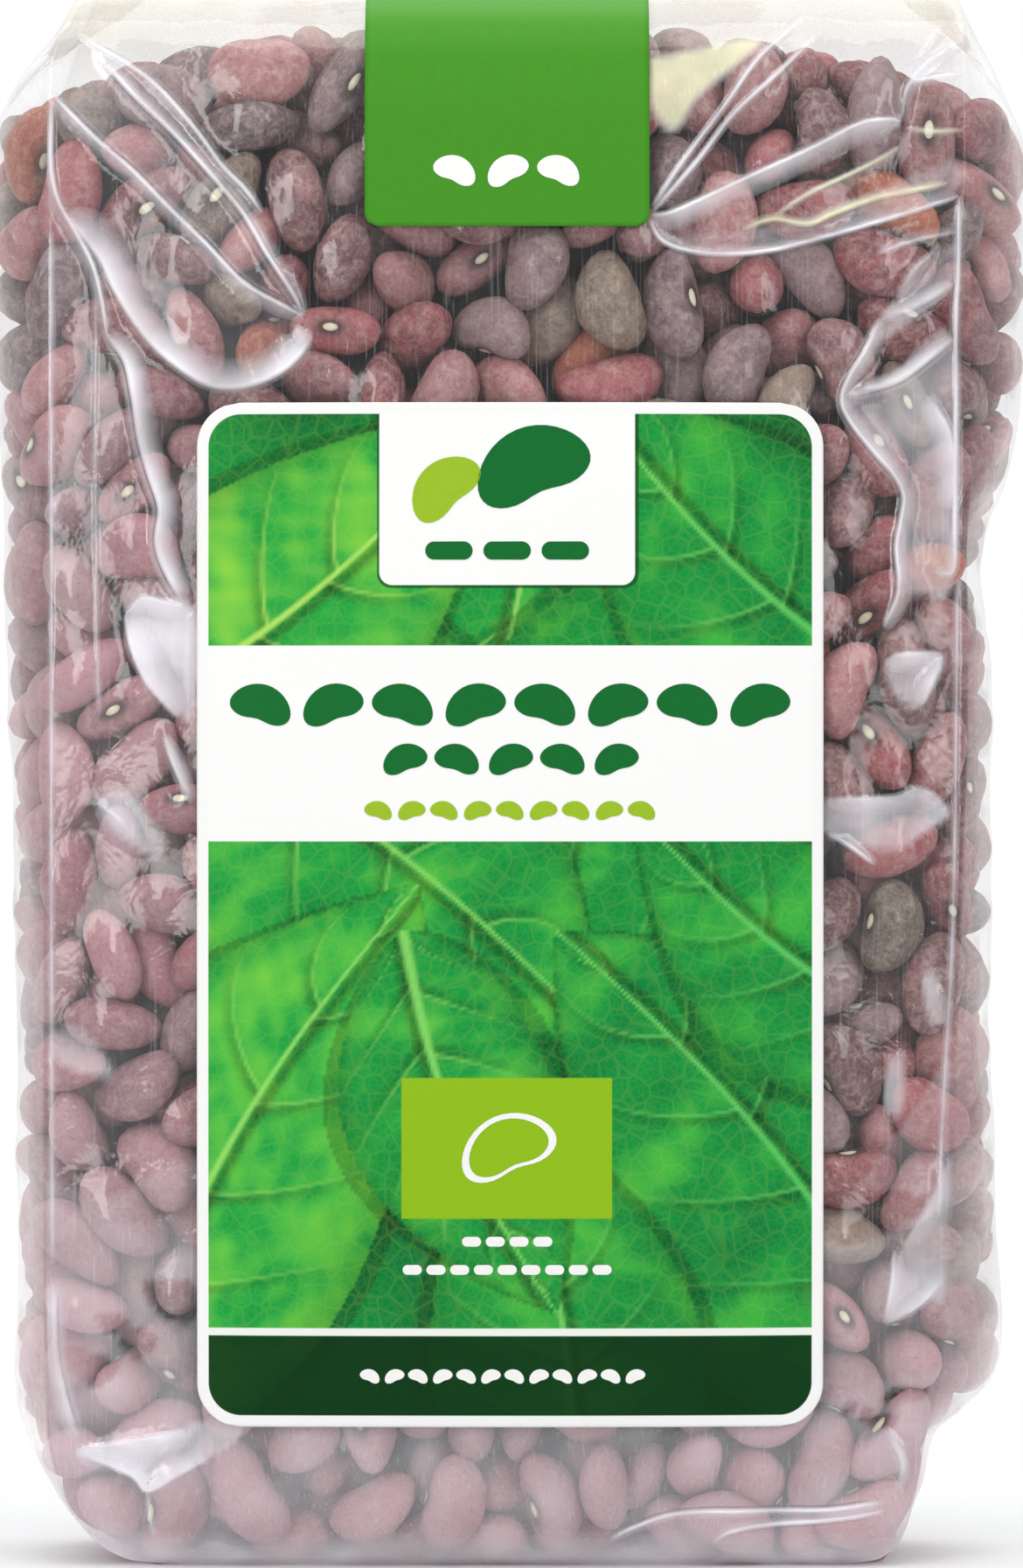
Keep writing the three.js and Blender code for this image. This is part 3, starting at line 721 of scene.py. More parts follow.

# Painted reflections: where the film mirrors something pale, it is painted as one milky sheet with crisp
# edges, and windows are left where it doesn't: a share of milk, and the outline in [x, height]
paintedReflectionVeils = [
    (0.06, [(-58, 176), (-47.4, 177.8), (-34.5, 168.7), (-26.7, 164.3), (-25.8, 162.8), (-29.5, 157.3),
        (-38.9, 155.4), (-45.7, 160.4), (-51.4, 167.8)]),
    (0.1, [(-53.3, 198.5), (-43.8, 188.6), (-34.5, 177.8), (-28, 167.3), (-34.5, 168.7), (-44.4, 178.7),
        (-57.3, 191.1)]),
    (0.8, [(-50.1, 125.4), (-47.9, 127.4), (-40.9, 126), (-40.9, 113.1), (-43, 111.9), (-47.3, 116.6),
        (-49.3, 121.1)]),
    (0.22, [(20.5, 175.6), (28.5, 174.1), (40, 175.6), (51.8, 179), (58.8, 181), (58.8, 184.9),
        (52.5, 182.7), (41.1, 178.1), (30.8, 175.6)]),
    (0.34, [(43.7, 153.4), (50, 156), (58.6, 161.8), (58.8, 131), (55, 128), (51.3, 129.9), (52.1, 140.9),
        (48.3, 146.6)]),
    (0.36, [(46.5, 160), (49, 164.3), (58.6, 174), (58.6, 168.9), (52, 163)]),
    (0.42, [(49.6, 119.4), (57.3, 120.1), (54.3, 113.3), (50.5, 115.5)]),
    (0.45, [(41, 101), (50.5, 101.3), (53.8, 102.5), (56.3, 101.3), (58.3, 99.2), (54.6, 96.7),
        (51.3, 94.5), (46.2, 95), (41, 97.2)]),
    (0.5, [(49.9, 32), (51, 40), (55.4, 48.5), (58.8, 54), (58.4, 36.5), (54.8, 34.8)]),
    (0.42, [(54.6, 78.2), (56.6, 77.9), (57.5, 73.1), (56.8, 71.3), (55.2, 73.1)]),
    (0.36, [(50.2, 67.4), (52.1, 67.1), (52.1, 59.8), (49.8, 60.5)]),
    (0.145, [(-61, 51), (-52, 49), (-41, 54), (-20, 50), (20, 46), (40, 44), (46, 50), (52, 58), (61, 64),
        (61, -2), (-61, -2)]),
    (0.24, [(-59.5, 45), (-54, 48.5), (-49, 45), (-45, 46.5), (-41, 44), (-41, 22), (-50, 20), (-59, 24)]),
    (0.26, [(-61, 21), (-48, 26), (-36, 24), (-10, 22), (20, 24), (38, 21), (50, 25), (61, 24), (61, -2),
        (-61, -2)]),
    (0.4, [(-54.2, 101.4), (-50.4, 102.2), (-45, 96.4), (-46.6, 93.4), (-52, 97.6)]),
    (0.34, [(-60, 70.4), (-56, 71), (-51.8, 65.2), (-55, 65), (-60, 67.2)]),
    (0.6, [(-57, 15.4), (-49.1, 16.5), (-37.8, 20.1), (-34.6, 18.3), (-36.4, 16), (-39.2, 14.3),
        (-46.3, 11.1), (-47.3, 10.2), (-49.5, 12.5)]),
]
clearWindows = [
    [(-58.8, 28.9), (-56.3, 28.9), (-50.9, 26.8), (-54, 23.8), (-57.2, 25.9)],
    [(-54.2, 33.2), (-51.4, 33.5), (-49.3, 31.9), (-51.4, 30.5), (-53.1, 31.4)],
    [(-51.4, 29.8), (-49.1, 32.1), (-45.9, 30.3), (-46.8, 28.7), (-49.1, 27.5)],
    [(-48.2, 37.7), (-41, 37.5), (-41, 32.6), (-44.5, 32.8), (-47.3, 35.1)],
    [(48.4, 21.7), (51, 23.5), (55, 23.5), (54.6, 22.2), (50.6, 21.4)],
    [(43.5, 20.9), (46.1, 22.2), (45.7, 20)],
    [(46.1, 19.1), (47, 21.4), (48.7, 20.5), (51.5, 20.5), (50.6, 18.4)],
    [(41.5, 46), (44, 49), (50, 50), (55, 48), (49, 43.5), (43, 43)],
]
# painted light: a milky patch beside the strip, yellowed by light that comes through the label's back
creamPatch = [(18.6, 198.5), (33.3, 201.3), (25.2, 193.6), (22.8, 189.7), (21, 189.1), (18.6, 192.6)]


# The rows' heights and how much of the depth each has: across the flat bottom, then up to the ridge.
# Near the ridge the rows are as far apart along the film as lower down.
def filmRows():
    z = np.linspace(0, bag["height"], 4000)
    along = np.r_[0, np.cumsum(np.hypot(np.diff(z), np.diff(panelDepth(0 * z, z))))]
    count = int(along[-1] / film["rowStep"])
    heights = np.interp(np.linspace(0, along[-1], count + 1), along, z)
    share = np.linspace(0, 1, film["bottomRows"], endpoint=False)
    return np.r_[0 * share, heights][:, None], np.r_[share, 1 + 0 * heights][:, None]


# The film as it would hang over an even filling: panels and gussets from the bag's profiles, and for each
# point its outward direction from the cross product of its neighbours' differences
def smoothFilm():
    z, squeeze = filmRows()
    sides = []
    for number, (count, facing) in enumerate(zip(film["columns"], (-1, 1, 1, -1))):
        share = np.linspace(-1, 1, count, endpoint=False)[None] * (1 if number < 2 else -1)
        if number % 2 == 0:
            x = share * creaseAt(share, z)
            sides.append(np.stack([x, facing * panelDepth(x, z) * squeeze, z + 0 * x], axis=-1))
        else:
            y = share * profiles["halfDepth"](z)
            sides.append(np.stack([facing * gussetReach(facing, y, z), y * squeeze, z + 0 * y], axis=-1))
    base = np.concatenate(sides, axis=1)
    around = np.roll(base, -1, axis=1) - np.roll(base, 1, axis=1)
    up = np.gradient(base, axis=0)
    normal = np.cross(around, up)
    length = np.linalg.norm(normal, axis=2, keepdims=True)
    return base, np.where(length > 1e-6, normal / np.maximum(length, 1e-6), [0, 0, 1])


# The heights of the beans over the smooth film, on the film's own grid of points
def beanHeights(points, base):
    rows, columns = base.shape[:2]
    heights = np.full((rows, columns), -9.0)
    z = base[:, 0, 2]
    x, y, up = points.T
    row = np.rint(np.interp(up, z[film["bottomRows"]:], np.arange(film["bottomRows"], rows))).astype(int)
    usable = (up > 1.5) & (up < 203)
    for number, (count, facing) in enumerate(zip(film["columns"], (-1, 1, 1, -1))):
        if number % 2 == 0:
            towards = facing * y
            share, stand = x / creaseAt(x, up), towards - panelDepth(x, up)
        else:
            towards = facing * x
            share, stand = y / profiles["halfDepth"](up), towards - gussetReach(facing, y, up)
        near = usable & (np.abs(share) < 0.98) & (stand > -7) & (towards > 0)
        along = (share[near] * (1 if number < 2 else -1) + 1) / 2 * count
        column = (creaseColumns[number] + np.rint(along).astype(int)) % columns
        np.maximum.at(heights, (row[near], column), stand[near])
    # points between the samples take their neighbours' height, and the film keeps a hair's breadth off
    for axis in (0, 1):
        around = np.maximum(np.roll(heights, 1, axis), np.roll(heights, -1, axis))
        heights = np.maximum(heights, around - 0.08)
    return heights + 0.1


# 1 where a label holds the film flat, falling to 0 a few millimetres outside it
def underPrint(x, z, facing):
    boxes = [(stripPrint["width"] / 2, 0, stripPrint["end"], 300)]
    if facing < 0:
        boxes.append((labelPrint["width"] / 2, labelPrint["middle"], labelPrint["bottom"],
            labelPrint["top"]))
    held = 0
    for half, middle, low, high in boxes:
        outside = np.maximum(np.maximum(np.abs(x - middle) - half, np.maximum(low - z, z - high)), 0)
        held = np.maximum(held, 1 - np.minimum(outside / film["printFade"], 1))
    return held


# The film at rest on the beans: each point settles to the mean of its four neighbours, drawn in a little,
# but never under a bean, and it stays put along the creases, the bottom and the ridge
def settleFilm(heights, base):
    z = base[:, :1, 2]
    fixed = np.zeros_like(heights, bool)
    fixed[:, creaseColumns[:4]] = True
    fixed |= (z < 1.2) | (z > 206)
    floor = np.where(fixed, 0, np.maximum(heights, film["deepest"]))
    level = np.where(fixed, 0, np.maximum(floor, -0.3))
    draw = film["sag"] * film["rowStep"] ** 2 / 4
    for _ in range(film["settleRounds"]):
        mean = (np.roll(level, 1, 1) + np.roll(level, -1, 1)) / 4
        mean[1:-1] += (level[:-2] + level[2:]) / 4
        level = np.where(fixed, 0, np.maximum(floor, mean - draw))
    return level


# How far folds stand out at each point: a crest along each route, straight-sided near it and fading out
# at its widths, and lower towards the route's two ends
def foldRelief(x, z, names, leastWidth):
    relief = np.zeros_like(x)
    for name in names:
        fold = folds[name]
        route = smoothRoute(fold["route"], 6)
        widths = np.maximum(fold["widths"], leastWidth)
        near = (x > route[:, 0].min() - 6) & (x < route[:, 0].max() + 6)
        near &= (z > route[:, 1].min() - 6) & (z < route[:, 1].max() + 6)
        px, pz = x[near], z[near]
        best, rise = np.full(px.shape, 1e9), np.zeros(px.shape)
        for k, (a, b) in enumerate(zip(route, route[1:])):
            run = b - a
            t = np.clip(((px - a[0]) * run[0] + (pz - a[1]) * run[1]) / (run ** 2).sum(), 0, 1)
            dx, dz = px - a[0] - t * run[0], pz - a[1] - t * run[1]
            distance = np.hypot(dx, dz)
            share = distance / np.where(run[0] * dz - run[1] * dx > 0, widths[0], widths[1])
            bow = np.sin(math.pi * np.clip((k + t) / (len(route) - 1) * 0.94 + 0.03, 0, 1))
            height = 0.55 * fold["height"] * (0.45 + 0.55 * bow) * np.clip(1 - share, 0, 1) ** 1.35
            nearer = distance < best
            best, rise = np.where(nearer, distance, best), np.where(nearer, height, rise)
        relief[near] = np.maximum(relief[near], rise)
    return relief


# 1 inside an outline and 0 outside it, crossing over so softly: the distance to the nearest edge, signed by
# whether a line from the point crosses the outline an odd number of times
def insideOutline(x, z, outline, soft=0.35):
    corner = smoothRoute(outline + outline[:1], 5)
    best, crossings = np.full(x.shape, 1e9), np.zeros(x.shape, int)
    for a, b in zip(corner, corner[1:]):
        run = b - a
        t = np.clip(((x - a[0]) * run[0] + (z - a[1]) * run[1]) / max((run ** 2).sum(), 1e-9), 0, 1)
        best = np.minimum(best, np.hypot(x - a[0] - t * run[0], z - a[1] - t * run[1]))
        spans = (a[1] > z) != (b[1] > z)
        crossings += spans & (x < a[0] + (z - a[1]) / np.where(run[1] == 0, 1, run[1]) * run[0])
    signed = np.where(crossings % 2 == 1, best, -best)
    return np.clip(signed / (2 * soft) + 0.5, 0, 1)


# Clear polypropylene film, cast and stretched: it mirrors the softboxes in long streaks, shows the beans
# through it, and turns milky where it is slack, scuffed or folded over itself. The milk also holds painted
# reflections of the pale surround and painted highlights along the folds.
filmLooks = {"ior": 1.5, "bothFaces": 1.4, "mostMirror": 0.36, "roughness": 0.1, "milk": "f2eff5",
    "glint": "fbf9ff", "cream": "f4f3cf", "edge": "33262b", "haze": 0.01, "scuffs": 0.12,
    "foldScuffs": 0.02}


def makeFilmMaterial(name, milkBase, scuffing, milkTint):
    material, add = newMaterial(name)
    place = add("TexCoord").outputs["Object"]
    milkAndPaintedSheen = add("Attribute", attribute_name="milkAndPaintedSheen").outputs["Fac"]
    creamy = add("Attribute", attribute_name="cream").outputs["Fac"]
    edge = add("Attribute", attribute_name="paintedEdgeShade").outputs["Fac"]
    # fine upright scuffs, about 0.3 mm wide and 20 mm long
    stretched = add("Mapping", {"Vector": place, "Scale": (3200, 3200, 48)})
    scuffs = add("TexNoise", {"Vector": stretched, "Scale": 1.0, "Detail": 2.0})
    scuffed = add("MapRange", {"Value": scuffs, "From Min": 0.56, "From Max": 0.78, "To Max": scuffing})
    clouds = add("TexNoise", {"Vector": place, "Scale": 120.0, "Detail": 3.0})
    cloudy = add("MapRange",
        {"Value": clouds, "From Min": 0.3, "From Max": 0.7, "To Min": 0.8, "To Max": 1.15})
    # the milk, partly the film's own and partly painted reflection and highlight, scatters as a diffuse
    # white
    milky = add("Math", {0: milkAndPaintedSheen, 1: cloudy}, operation="MULTIPLY")
    hazed = add("Math", {0: milky, 1: scuffed}, operation="ADD")
    haze = add("Math", {0: hazed, 1: milkBase}, operation="ADD", use_clamp=True)
    # shallow crinkles a few millimetres long break the streaks up
    crinkles = add("TexNoise",
        {"Vector": place, "Scale": 170.0, "Detail": 3.0, "Roughness": 0.55, "Distortion": 0.4})
    dented = add("Bump", {"Height": crinkles, "Strength": 0.4, "Distance": 0.0005})
    # so thin a film mirrors no more from inside than from outside: its back takes the inverse index
    inner = add("NewGeometry").outputs["Backfacing"]
    index = add("MapRange", {"Value": inner, "To Min": filmLooks["ior"], "To Max": 1 / filmLooks["ior"]})
    fresnel = add("Fresnel", {"IOR": index, "Normal": dented})
    doubled = add("Math", {0: fresnel, 1: filmLooks["bothFaces"]}, operation="MULTIPLY")
    mirrored = add("Math", {0: doubled, 1: filmLooks["mostMirror"]}, operation="MINIMUM")
    clear = add("BsdfTransparent", {"Color": linear("fcfcfd")})
    gloss = add("BsdfGlossy",
        {"Color": (1, 1, 1, 1), "Roughness": filmLooks["roughness"], "Normal": dented})
    glossy = add("MixShader", {0: mirrored, 1: clear, 2: gloss})
    tint = add("Mix", {"Factor": creamy, "A": linear(milkTint), "B": linear(filmLooks["cream"])},
        data_type="RGBA")
    # painted shade: beside a crest the film is seen edge on and looks dark, so its milk is darkened there
    edged = add("Mix", {"Factor": edge, "A": tint, "B": linear(filmLooks["edge"])}, data_type="RGBA")
    scatter = add("BsdfDiffuse", {"Color": edged})
    whole = add("MixShader", {0: haze, 1: glossy, 2: scatter})
    # thin film passes light on to the beans, scattered or not, so it casts no shadow on them
    rays = add("LightPath").outputs
    passing = add("Math", {0: rays["Is Shadow Ray"], 1: rays["Is Diffuse Ray"]}, operation="MAXIMUM")
    lit = add("MixShader", {0: passing, 1: whole, 2: clear})
    add("OutputMaterial", {"Surface": lit})
    return material


# How milky the film is, much of it painted reflection of the pale surround: more over deep gaps between the
# beans, along the sides and the bottom and where a painted veil lies on it, and most where the gussets stand
# empty
def filmMilkAndPaintedReflection(x, z, gap, panel, crown):
    milk = 0.03 * np.clip(gap / 4, 0, 1) + 0.22 * crown + 0.44 * np.clip((4.5 - z) / 3.5, 0, 1)
    beside = np.interp(x, (-60.5, -58, -44, -34, 40, 58, 60.5), (0.12, 0.06, 0.02, 0, 0, 0, 0.04))
    paintedVeil = np.zeros_like(x)
    for share, outline in paintedReflectionVeils:
        cloudy = share * (0.9 + 0.3 * softWaves(x, z, 9, 21))
        paintedVeil = np.maximum(paintedVeil, cloudy * insideOutline(x, z, outline))
    for outline in clearWindows:
        paintedVeil *= 1 - insideOutline(x, z, outline, 0.2)
    paintedVeil = np.maximum(paintedVeil, 0.75 * insideOutline(x, z, creamPatch, 0.6))
    foot = 0.02 + 0.12 * np.clip((48 + 5 * softWaves(x, z * 0.2, 40, 12) - z) / 20, 0, 1)
    empty = np.where(x < 0, np.interp(z, (34, 56, 76, 100), (0, 0.1, 0.1, 0)),
        np.interp(z, (18, 24, 29, 40, 48, 72), (0.12, 0.03, 0.03, 0.13, 0.13, 0)))
    return milk + np.where(panel, beside + paintedVeil, foot + empty)


def makeFilm():
    base, normal = smoothFilm()
    rows, columns = base.shape[:2]
    heights = beanHeights(restingPoints, base)
    level = settleFilm(heights, base)
    x, y, z = base[..., 0], base[..., 1], base[..., 2]
    column = np.arange(columns)[None] + 0 * x
    onFront = column <= creaseColumns[1]
    onBack = (column >= creaseColumns[2]) & (column <= creaseColumns[3])
    held = np.where(onFront, underPrint(x, z, -1), np.where(onBack, underPrint(x, z, 1), 0))
    crown = np.clip((z - 199) / 6, 0, 1)
    relief = np.where(onFront, foldRelief(x, z, folds, 1.4),
        np.where(onBack, foldRelief(x, z, backFolds, 2.6), 0))
    # loose film over the gussets, the back and the top ripples in long shallow waves
    loose = np.clip(softWaves(x + y, z * 0.55, 22, 3), 0, 1) * np.clip((z - 3) / 6, 0, 1)
    ripple = np.where(onFront, 0.15, 0.5) * loose + crown * 0.5 * np.abs(softWaves(x, z * 0, 9, 4))
    away = np.abs(np.arange(columns)[:, None] - np.r_[creaseColumns, columns])
    crease = 1 - np.minimum(away.min(1) / 5, 1)
    ridge = np.clip((bag["height"] - z) / 4, 0, 1) * np.clip(z / 1.5, 0, 1)
    lift = np.where(held > 0, np.minimum(level, 0.25 + 2 * (1 - held)), level)
    lift = lift + (relief + ripple * (1 - crease)) * (1 - held) * ridge
    points = base + normal * lift[..., None]
    # how far the film stands off the beans under it
    under = heights
    for axis in (0, 1, 0, 1, 1):
        under = np.maximum(under, np.maximum(np.roll(under, 1, axis), np.roll(under, -1, axis)))
    gap = np.clip(lift - np.maximum(under, -4), 0, 6)
    milk = filmMilkAndPaintedReflection(x, z, gap, onFront | onBack, crown)
    cream = 0.7 * np.clip((z - 192) / 9, 0, 1)
    cream = np.where(onFront, np.maximum(cream, insideOutline(x, z, creamPatch, 0.6)), cream)
    faces = gridFaces(rows, columns, wrapped=True)
    piece = makePiece("clearFilm", points.reshape(-1, 3), [faces],
        makeFilmMaterial("clearCastFilm", filmLooks["haze"], filmLooks["scuffs"], filmLooks["milk"]),
        {"milkAndPaintedSheen": milk.ravel(), "cream": cream.ravel(), "paintedEdgeShade": 0 * milk.ravel()})
    mergeSeams(piece)
    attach(piece, "root")
    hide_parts("bag")
    return points[:, :creaseColumns[1] + 1], points[:, creaseColumns[3]:creaseColumns[2] - 1:-1]


# Joins points that meet along the bottom's middle and the ridge, so that the skin is closed
def mergeSeams(piece):
    skin = bmesh.new()
    skin.from_mesh(piece.data)
    bmesh.ops.remove_doubles(skin, verts=skin.verts, dist=2e-6)
    skin.to_mesh(piece.data)
    skin.free()


frontFilm, backFilm = makeFilm()
print("film ready")


# The film's own surface on the front or back panel at any [x, height], by its nearest points
def onPanel(panel, x, z):
    rows, columns = panel.shape[:2]
    first = film["bottomRows"]
    row = np.interp(z, panel[first:, 0, 2], np.arange(first, rows))
    column = (x / creaseAt(x, z) + 1) / 2 * (columns - 1)
    r, c = np.floor(row).astype(int).clip(0, rows - 2), np.floor(column).astype(int).clip(0, columns - 2)
    fr, fc = (row - r)[..., None], (column - c)[..., None]
    return ((panel[r, c] * (1 - fc) + panel[r, c + 1] * fc) * (1 - fr)
        + (panel[r + 1, c] * (1 - fc) + panel[r + 1, c + 1] * fc) * fr)


# The folds' own sheen: a band of film on each fold's crest, milky beside it and whitest on the crest, partly
# the whitening of creased film and partly a painted highlight. Across the band the milk falls off as a power
# of the distance over the width, and the crest's line is a narrow bell curve with a dark one beside it; all
# thin out at the route's two ends.
paintedSheen = {
    "near": np.array([0.12, 0.26, 0.4, 0.56, 0.74]),  # mm off the crest, for a band 0.8 mm wide or wider
    "far": np.array([0.3, 0.62, 1.0]),  # shares of the way from there to the band's edge
    "spacing": 0.5,
    "endFade": 3.5,  # mm over which a fold's sheen comes in at either end
    "stand": 0.12,
    "crest": 0.16,
    "lineWidth": 0.3,
    "dark": {"off": 0.56, "width": 0.2, "cover": 0.5},
}
edgeLines = namedFolds({
    "leftEdge": (0, (0.6, 0.8), 0.2, 0.4, 0,
        [(-59.9, 176), (-59.9, 150), (-59.9, 120), (-59.9, 80), (-59.8, 40)]),
    "leftInner": (0, (0.6, 0.6), 0.1, 0.25, 0, [(-54.1, 168), (-54.2, 150), (-54, 130), (-53.6, 112)]),
    "rightEdge": (0, (0.9, 0.6), 0.25, 0.4, 0,
        [(59.2, 130), (58.9, 100), (58.4, 80), (57.4, 62), (56.6, 46)]),
})


def makePaintedFoldSheen():
    points, faces, milk, cream, shade = [], [], [], [], []
    offset = 0
    steps = len(paintedSheen["near"]) + len(paintedSheen["far"])
    side = np.r_[-np.ones(steps), 0, np.ones(steps)]
    dark = paintedSheen["dark"]
    onFront = [(fold, frontFilm, -1) for fold in (folds | edgeLines).values()]
    onBack = [(folds[name], backFilm, 1) for name in backFolds]
    for fold, panel, facing in onFront + onBack:
        line = smoothRoute(fold["route"], 30)
        travelled = np.r_[0, np.cumsum(np.hypot(*np.diff(line, axis=0).T))]
        even = np.linspace(0, travelled[-1], max(8, int(travelled[-1] / paintedSheen["spacing"])))
        line = np.stack([np.interp(even, travelled, line[:, k]) for k in (0, 1)], axis=1)
        run = np.gradient(line, axis=0)
        run /= np.linalg.norm(run, axis=1, keepdims=True)
        aside = np.stack([-run[:, 1], run[:, 0]], axis=1)
        t = np.linspace(0, 1, len(line))
        ends = np.clip(np.minimum(t, 1 - t) * travelled[-1] / paintedSheen["endFade"], 0, 1)[:, None] ** 0.6
        # the steps run from the right of the route to its left
        offsets = []
        for width in fold["widths"]:
            near = paintedSheen["near"] * min(1, width / 0.8)
            offsets.append(np.r_[near, near[-1] + paintedSheen["far"] * max(width - near[-1], 0.05)])
        across = np.r_[-offsets[1][::-1], 0, offsets[0]][None] * (0.3 + 0.7 * ends)
        share = np.abs(across) / np.where(side > 0, offsets[0][-1], offsets[1][-1])
        flat = line[:, None] + aside[:, None] * across[..., None]
        limit = creaseAt(flat[..., 0], flat[..., 1]) - 0.1
        surface = onPanel(panel, np.clip(flat[..., 0], -limit, limit), flat[..., 1])
        soft = np.clip(1 - share, 0, 1) ** 1.2 * min(1, 1.15 * fold["milk"])
        # painted highlight: the bright line along each crest
        crest = np.exp(-(across / paintedSheen["lineWidth"]) ** 2) * min(1, 1.1 * fold["line"])
        # painted shade: the dark line, for film seen edge on, lies on the narrower side
        crisp = 1 if fold["widths"][0] < fold["widths"][1] else -1
        shadow = np.exp(-((across - crisp * dark["off"]) / dark["width"]) ** 2) * fold["line"]
        shadow = np.clip(shadow - crest, 0, 1)
        uneven = 0.85 + 0.15 * np.sin(even / 2.3 + len(points))[:, None]
        cover = np.maximum(np.maximum(soft, crest), dark["cover"] * shadow)
        milk.append((cover * ends * uneven).ravel())
        shade.append((shadow * ends).ravel())
        cream.append(np.full(across.size, float(fold["cream"])))
        surface[..., 1] += facing * (paintedSheen["stand"] + paintedSheen["crest"] * crest * ends)
        points.append(surface.reshape(-1, 3))
        faces.append(gridFaces(*across.shape)[:, ::-facing] + offset)
        offset += across.size
    attributes = {"milkAndPaintedSheen": np.concatenate(milk), "cream": np.concatenate(cream),
        "paintedEdgeShade": np.concatenate(shade)}
    piece = makePiece("foldPaintedSheen", np.concatenate(points), [np.concatenate(faces)],
        makeFilmMaterial("creasedFilmPaintedSheen", 0.0, filmLooks["foldScuffs"], filmLooks["glint"]), attributes)
    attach(piece, "root")


makePaintedFoldSheen()
print("folds ready")


# The front label. Leaves painted one over another, as a colour on the label's own fine grid.
leaves = {
    "ground": "054d22",
    "deep": "057a30",
    "mid": "1f9a38",
    "bright": "6fbb35",
    "vein": "88c455",
    "veins": 6.5,  # side veins along each side of a midrib
    # each leaf's base and tip in mm from the label's middle, half its width, and how bright it is
    "sprays": [
        ((2, 84), (-4, 22), 20, 0.35), ((62, 30), (-22, -4), 27, 0.3), ((-62, 34), (12, -16), 27, 0.5),
        ((-62, 20), (-2, 66), 19, 0.75), ((60, 24), (10, 68), 19, 0.45), ((58, -70), (6, -2), 25, 0.4),
        ((-54, -72), (-12, 4), 23, 0.85), ((8, -90), (-2, -22), 18, 0.6), ((62, -20), (16, 14), 15, 0.55),
        ((-14, -2), (6, -52), 14, 0.5),
    ],
}


def mixed(a, b, share):
    return a + (b - a) * share[..., None]


# Each leaf is a lens about its midrib: its half width is the sine of the way along. Side veins leave the
# midrib at even steps and sweep towards the tip, and the leaf darkens beside each vein and at its edge.
def paintLeaves(x, z):
    tones = {key: np.array(linear(leaves[key])[:3]) for key in ("ground", "deep", "mid", "bright", "vein")}
    colour = mixed(tones["ground"], tones["deep"], np.clip(0.5 + 0.5 * softWaves(x, z, 24, 39), 0, 1))
    for number, ((bx, bz), (tx, tz), half, brightness) in enumerate(leaves["sprays"]):
        axis = np.array([tx - bx, tz - bz], float)
        length = np.hypot(*axis)
        axis /= length
        t = ((x - bx) * axis[0] + (z - bz) * axis[1]) / length
        bow = 0.06 * length * np.sin(math.pi * np.clip(t, 0, 1)) * (1 if number % 2 else -1)
        aside = (x - bx) * axis[1] - (z - bz) * axis[0] - bow
        s = aside / (half * np.sin(math.pi * np.clip(t, 0, 1) ** 0.82) ** 0.85 + 1e-6)
        off = np.abs(s)
        shadow = (off < 1 + 2.2 / half) & (t > -0.04) & (t < 1.06)
        colour = np.where(shadow[..., None], colour * 0.62, colour)
        mottle = 0.5 + 0.5 * softWaves(x, z, 16, 40 + number) + 0.2 * softWaves(x, z, 4.5, 60 + number)
        leaf = mixed(tones["deep"], tones["mid"], np.clip(0.7 * mottle + brightness - 0.25, 0, 1))
        leaf = mixed(leaf, tones["bright"], np.clip(mottle + brightness - 1.0, 0, 1) * 0.8)
        phase = (t - 0.19 * off ** 1.25) * leaves["veins"] + 0.15 * (s > 0)
        nearest = (phase - np.rint(phase)) / leaves["veins"] * length
        beside = np.exp(-((nearest + 0.9) / 0.9) ** 2) * np.clip(1.05 - off, 0, 1)
        vein = np.clip(1.4 - np.abs(nearest) / 0.26, 0, 1) * np.clip(1.1 - off, 0, 1)
        leaf = mixed(leaf * (1 - 0.42 * beside)[..., None], tones["vein"], 0.6 * vein)
        beside = np.exp(-((aside - 1.2) / 0.8) ** 2)
        rib = np.clip(1.5 - np.abs(aside) / (0.55 * (1.2 - np.clip(t, 0, 1))), 0, 1)
        leaf = mixed(leaf * (1 - 0.55 * beside)[..., None], tones["vein"], 0.9 * rib)
        leaf = leaf * (1 - 0.35 * off ** 6)[..., None]
        colour = np.where(((off < 1) & (t > 0) & (t < 1))[..., None], leaf, colour)
    # yellower and brighter towards the upper left, a deeper green towards the right
    left = np.clip(0.5 - x / 78, 0, 1)[..., None]
    colour = colour * (np.array([0.42, 1.08, 1.44]) + np.array([0.86, 0.3, 0.14]) * left)
    upper = left * np.clip((z - 12) / 30, 0, 1)[..., None]
    colour[..., :2] *= 1 + upper * np.array([0.85, 0.12])
    return np.concatenate([colour, np.ones(x.shape + (1,))], axis=-1)


# Half the width of a plate with round corners, so far from the nearer of its ends
def roundedHalf(half, corner, fromEnd):
    into = np.maximum(corner - fromEnd, 0)
    return half - corner + np.sqrt(np.maximum(corner ** 2 - into ** 2, 0))


# 1 inside a box with round corners, from the distance to its outline; x and z in mm are sockets
def boxMask(add, x, z, box, corner, soft=0.06):
    (left, right), (low, high) = box
    def past(value, middle, half):
        offset = add("Math", {0: value, 1: middle}, operation="SUBTRACT")
        size = add("Math", {0: offset}, operation="ABSOLUTE")
        over = add("Math", {0: size, 1: half - corner}, operation="SUBTRACT")
        kept = add("Math", {0: over, 1: 0.0}, operation="MAXIMUM")
        return add("Math", {0: kept, 1: 2.0}, operation="POWER")
    squares = add("Math",
        {0: past(x, (left + right) / 2, (right - left) / 2),
        1: past(z, (low + high) / 2, (high - low) / 2)}, operation="ADD")
    distance = add("Math", {0: squares}, operation="SQRT")
    return add("MapRange", {"Value": distance, "From Min": corner + soft, "From Max": corner - soft})


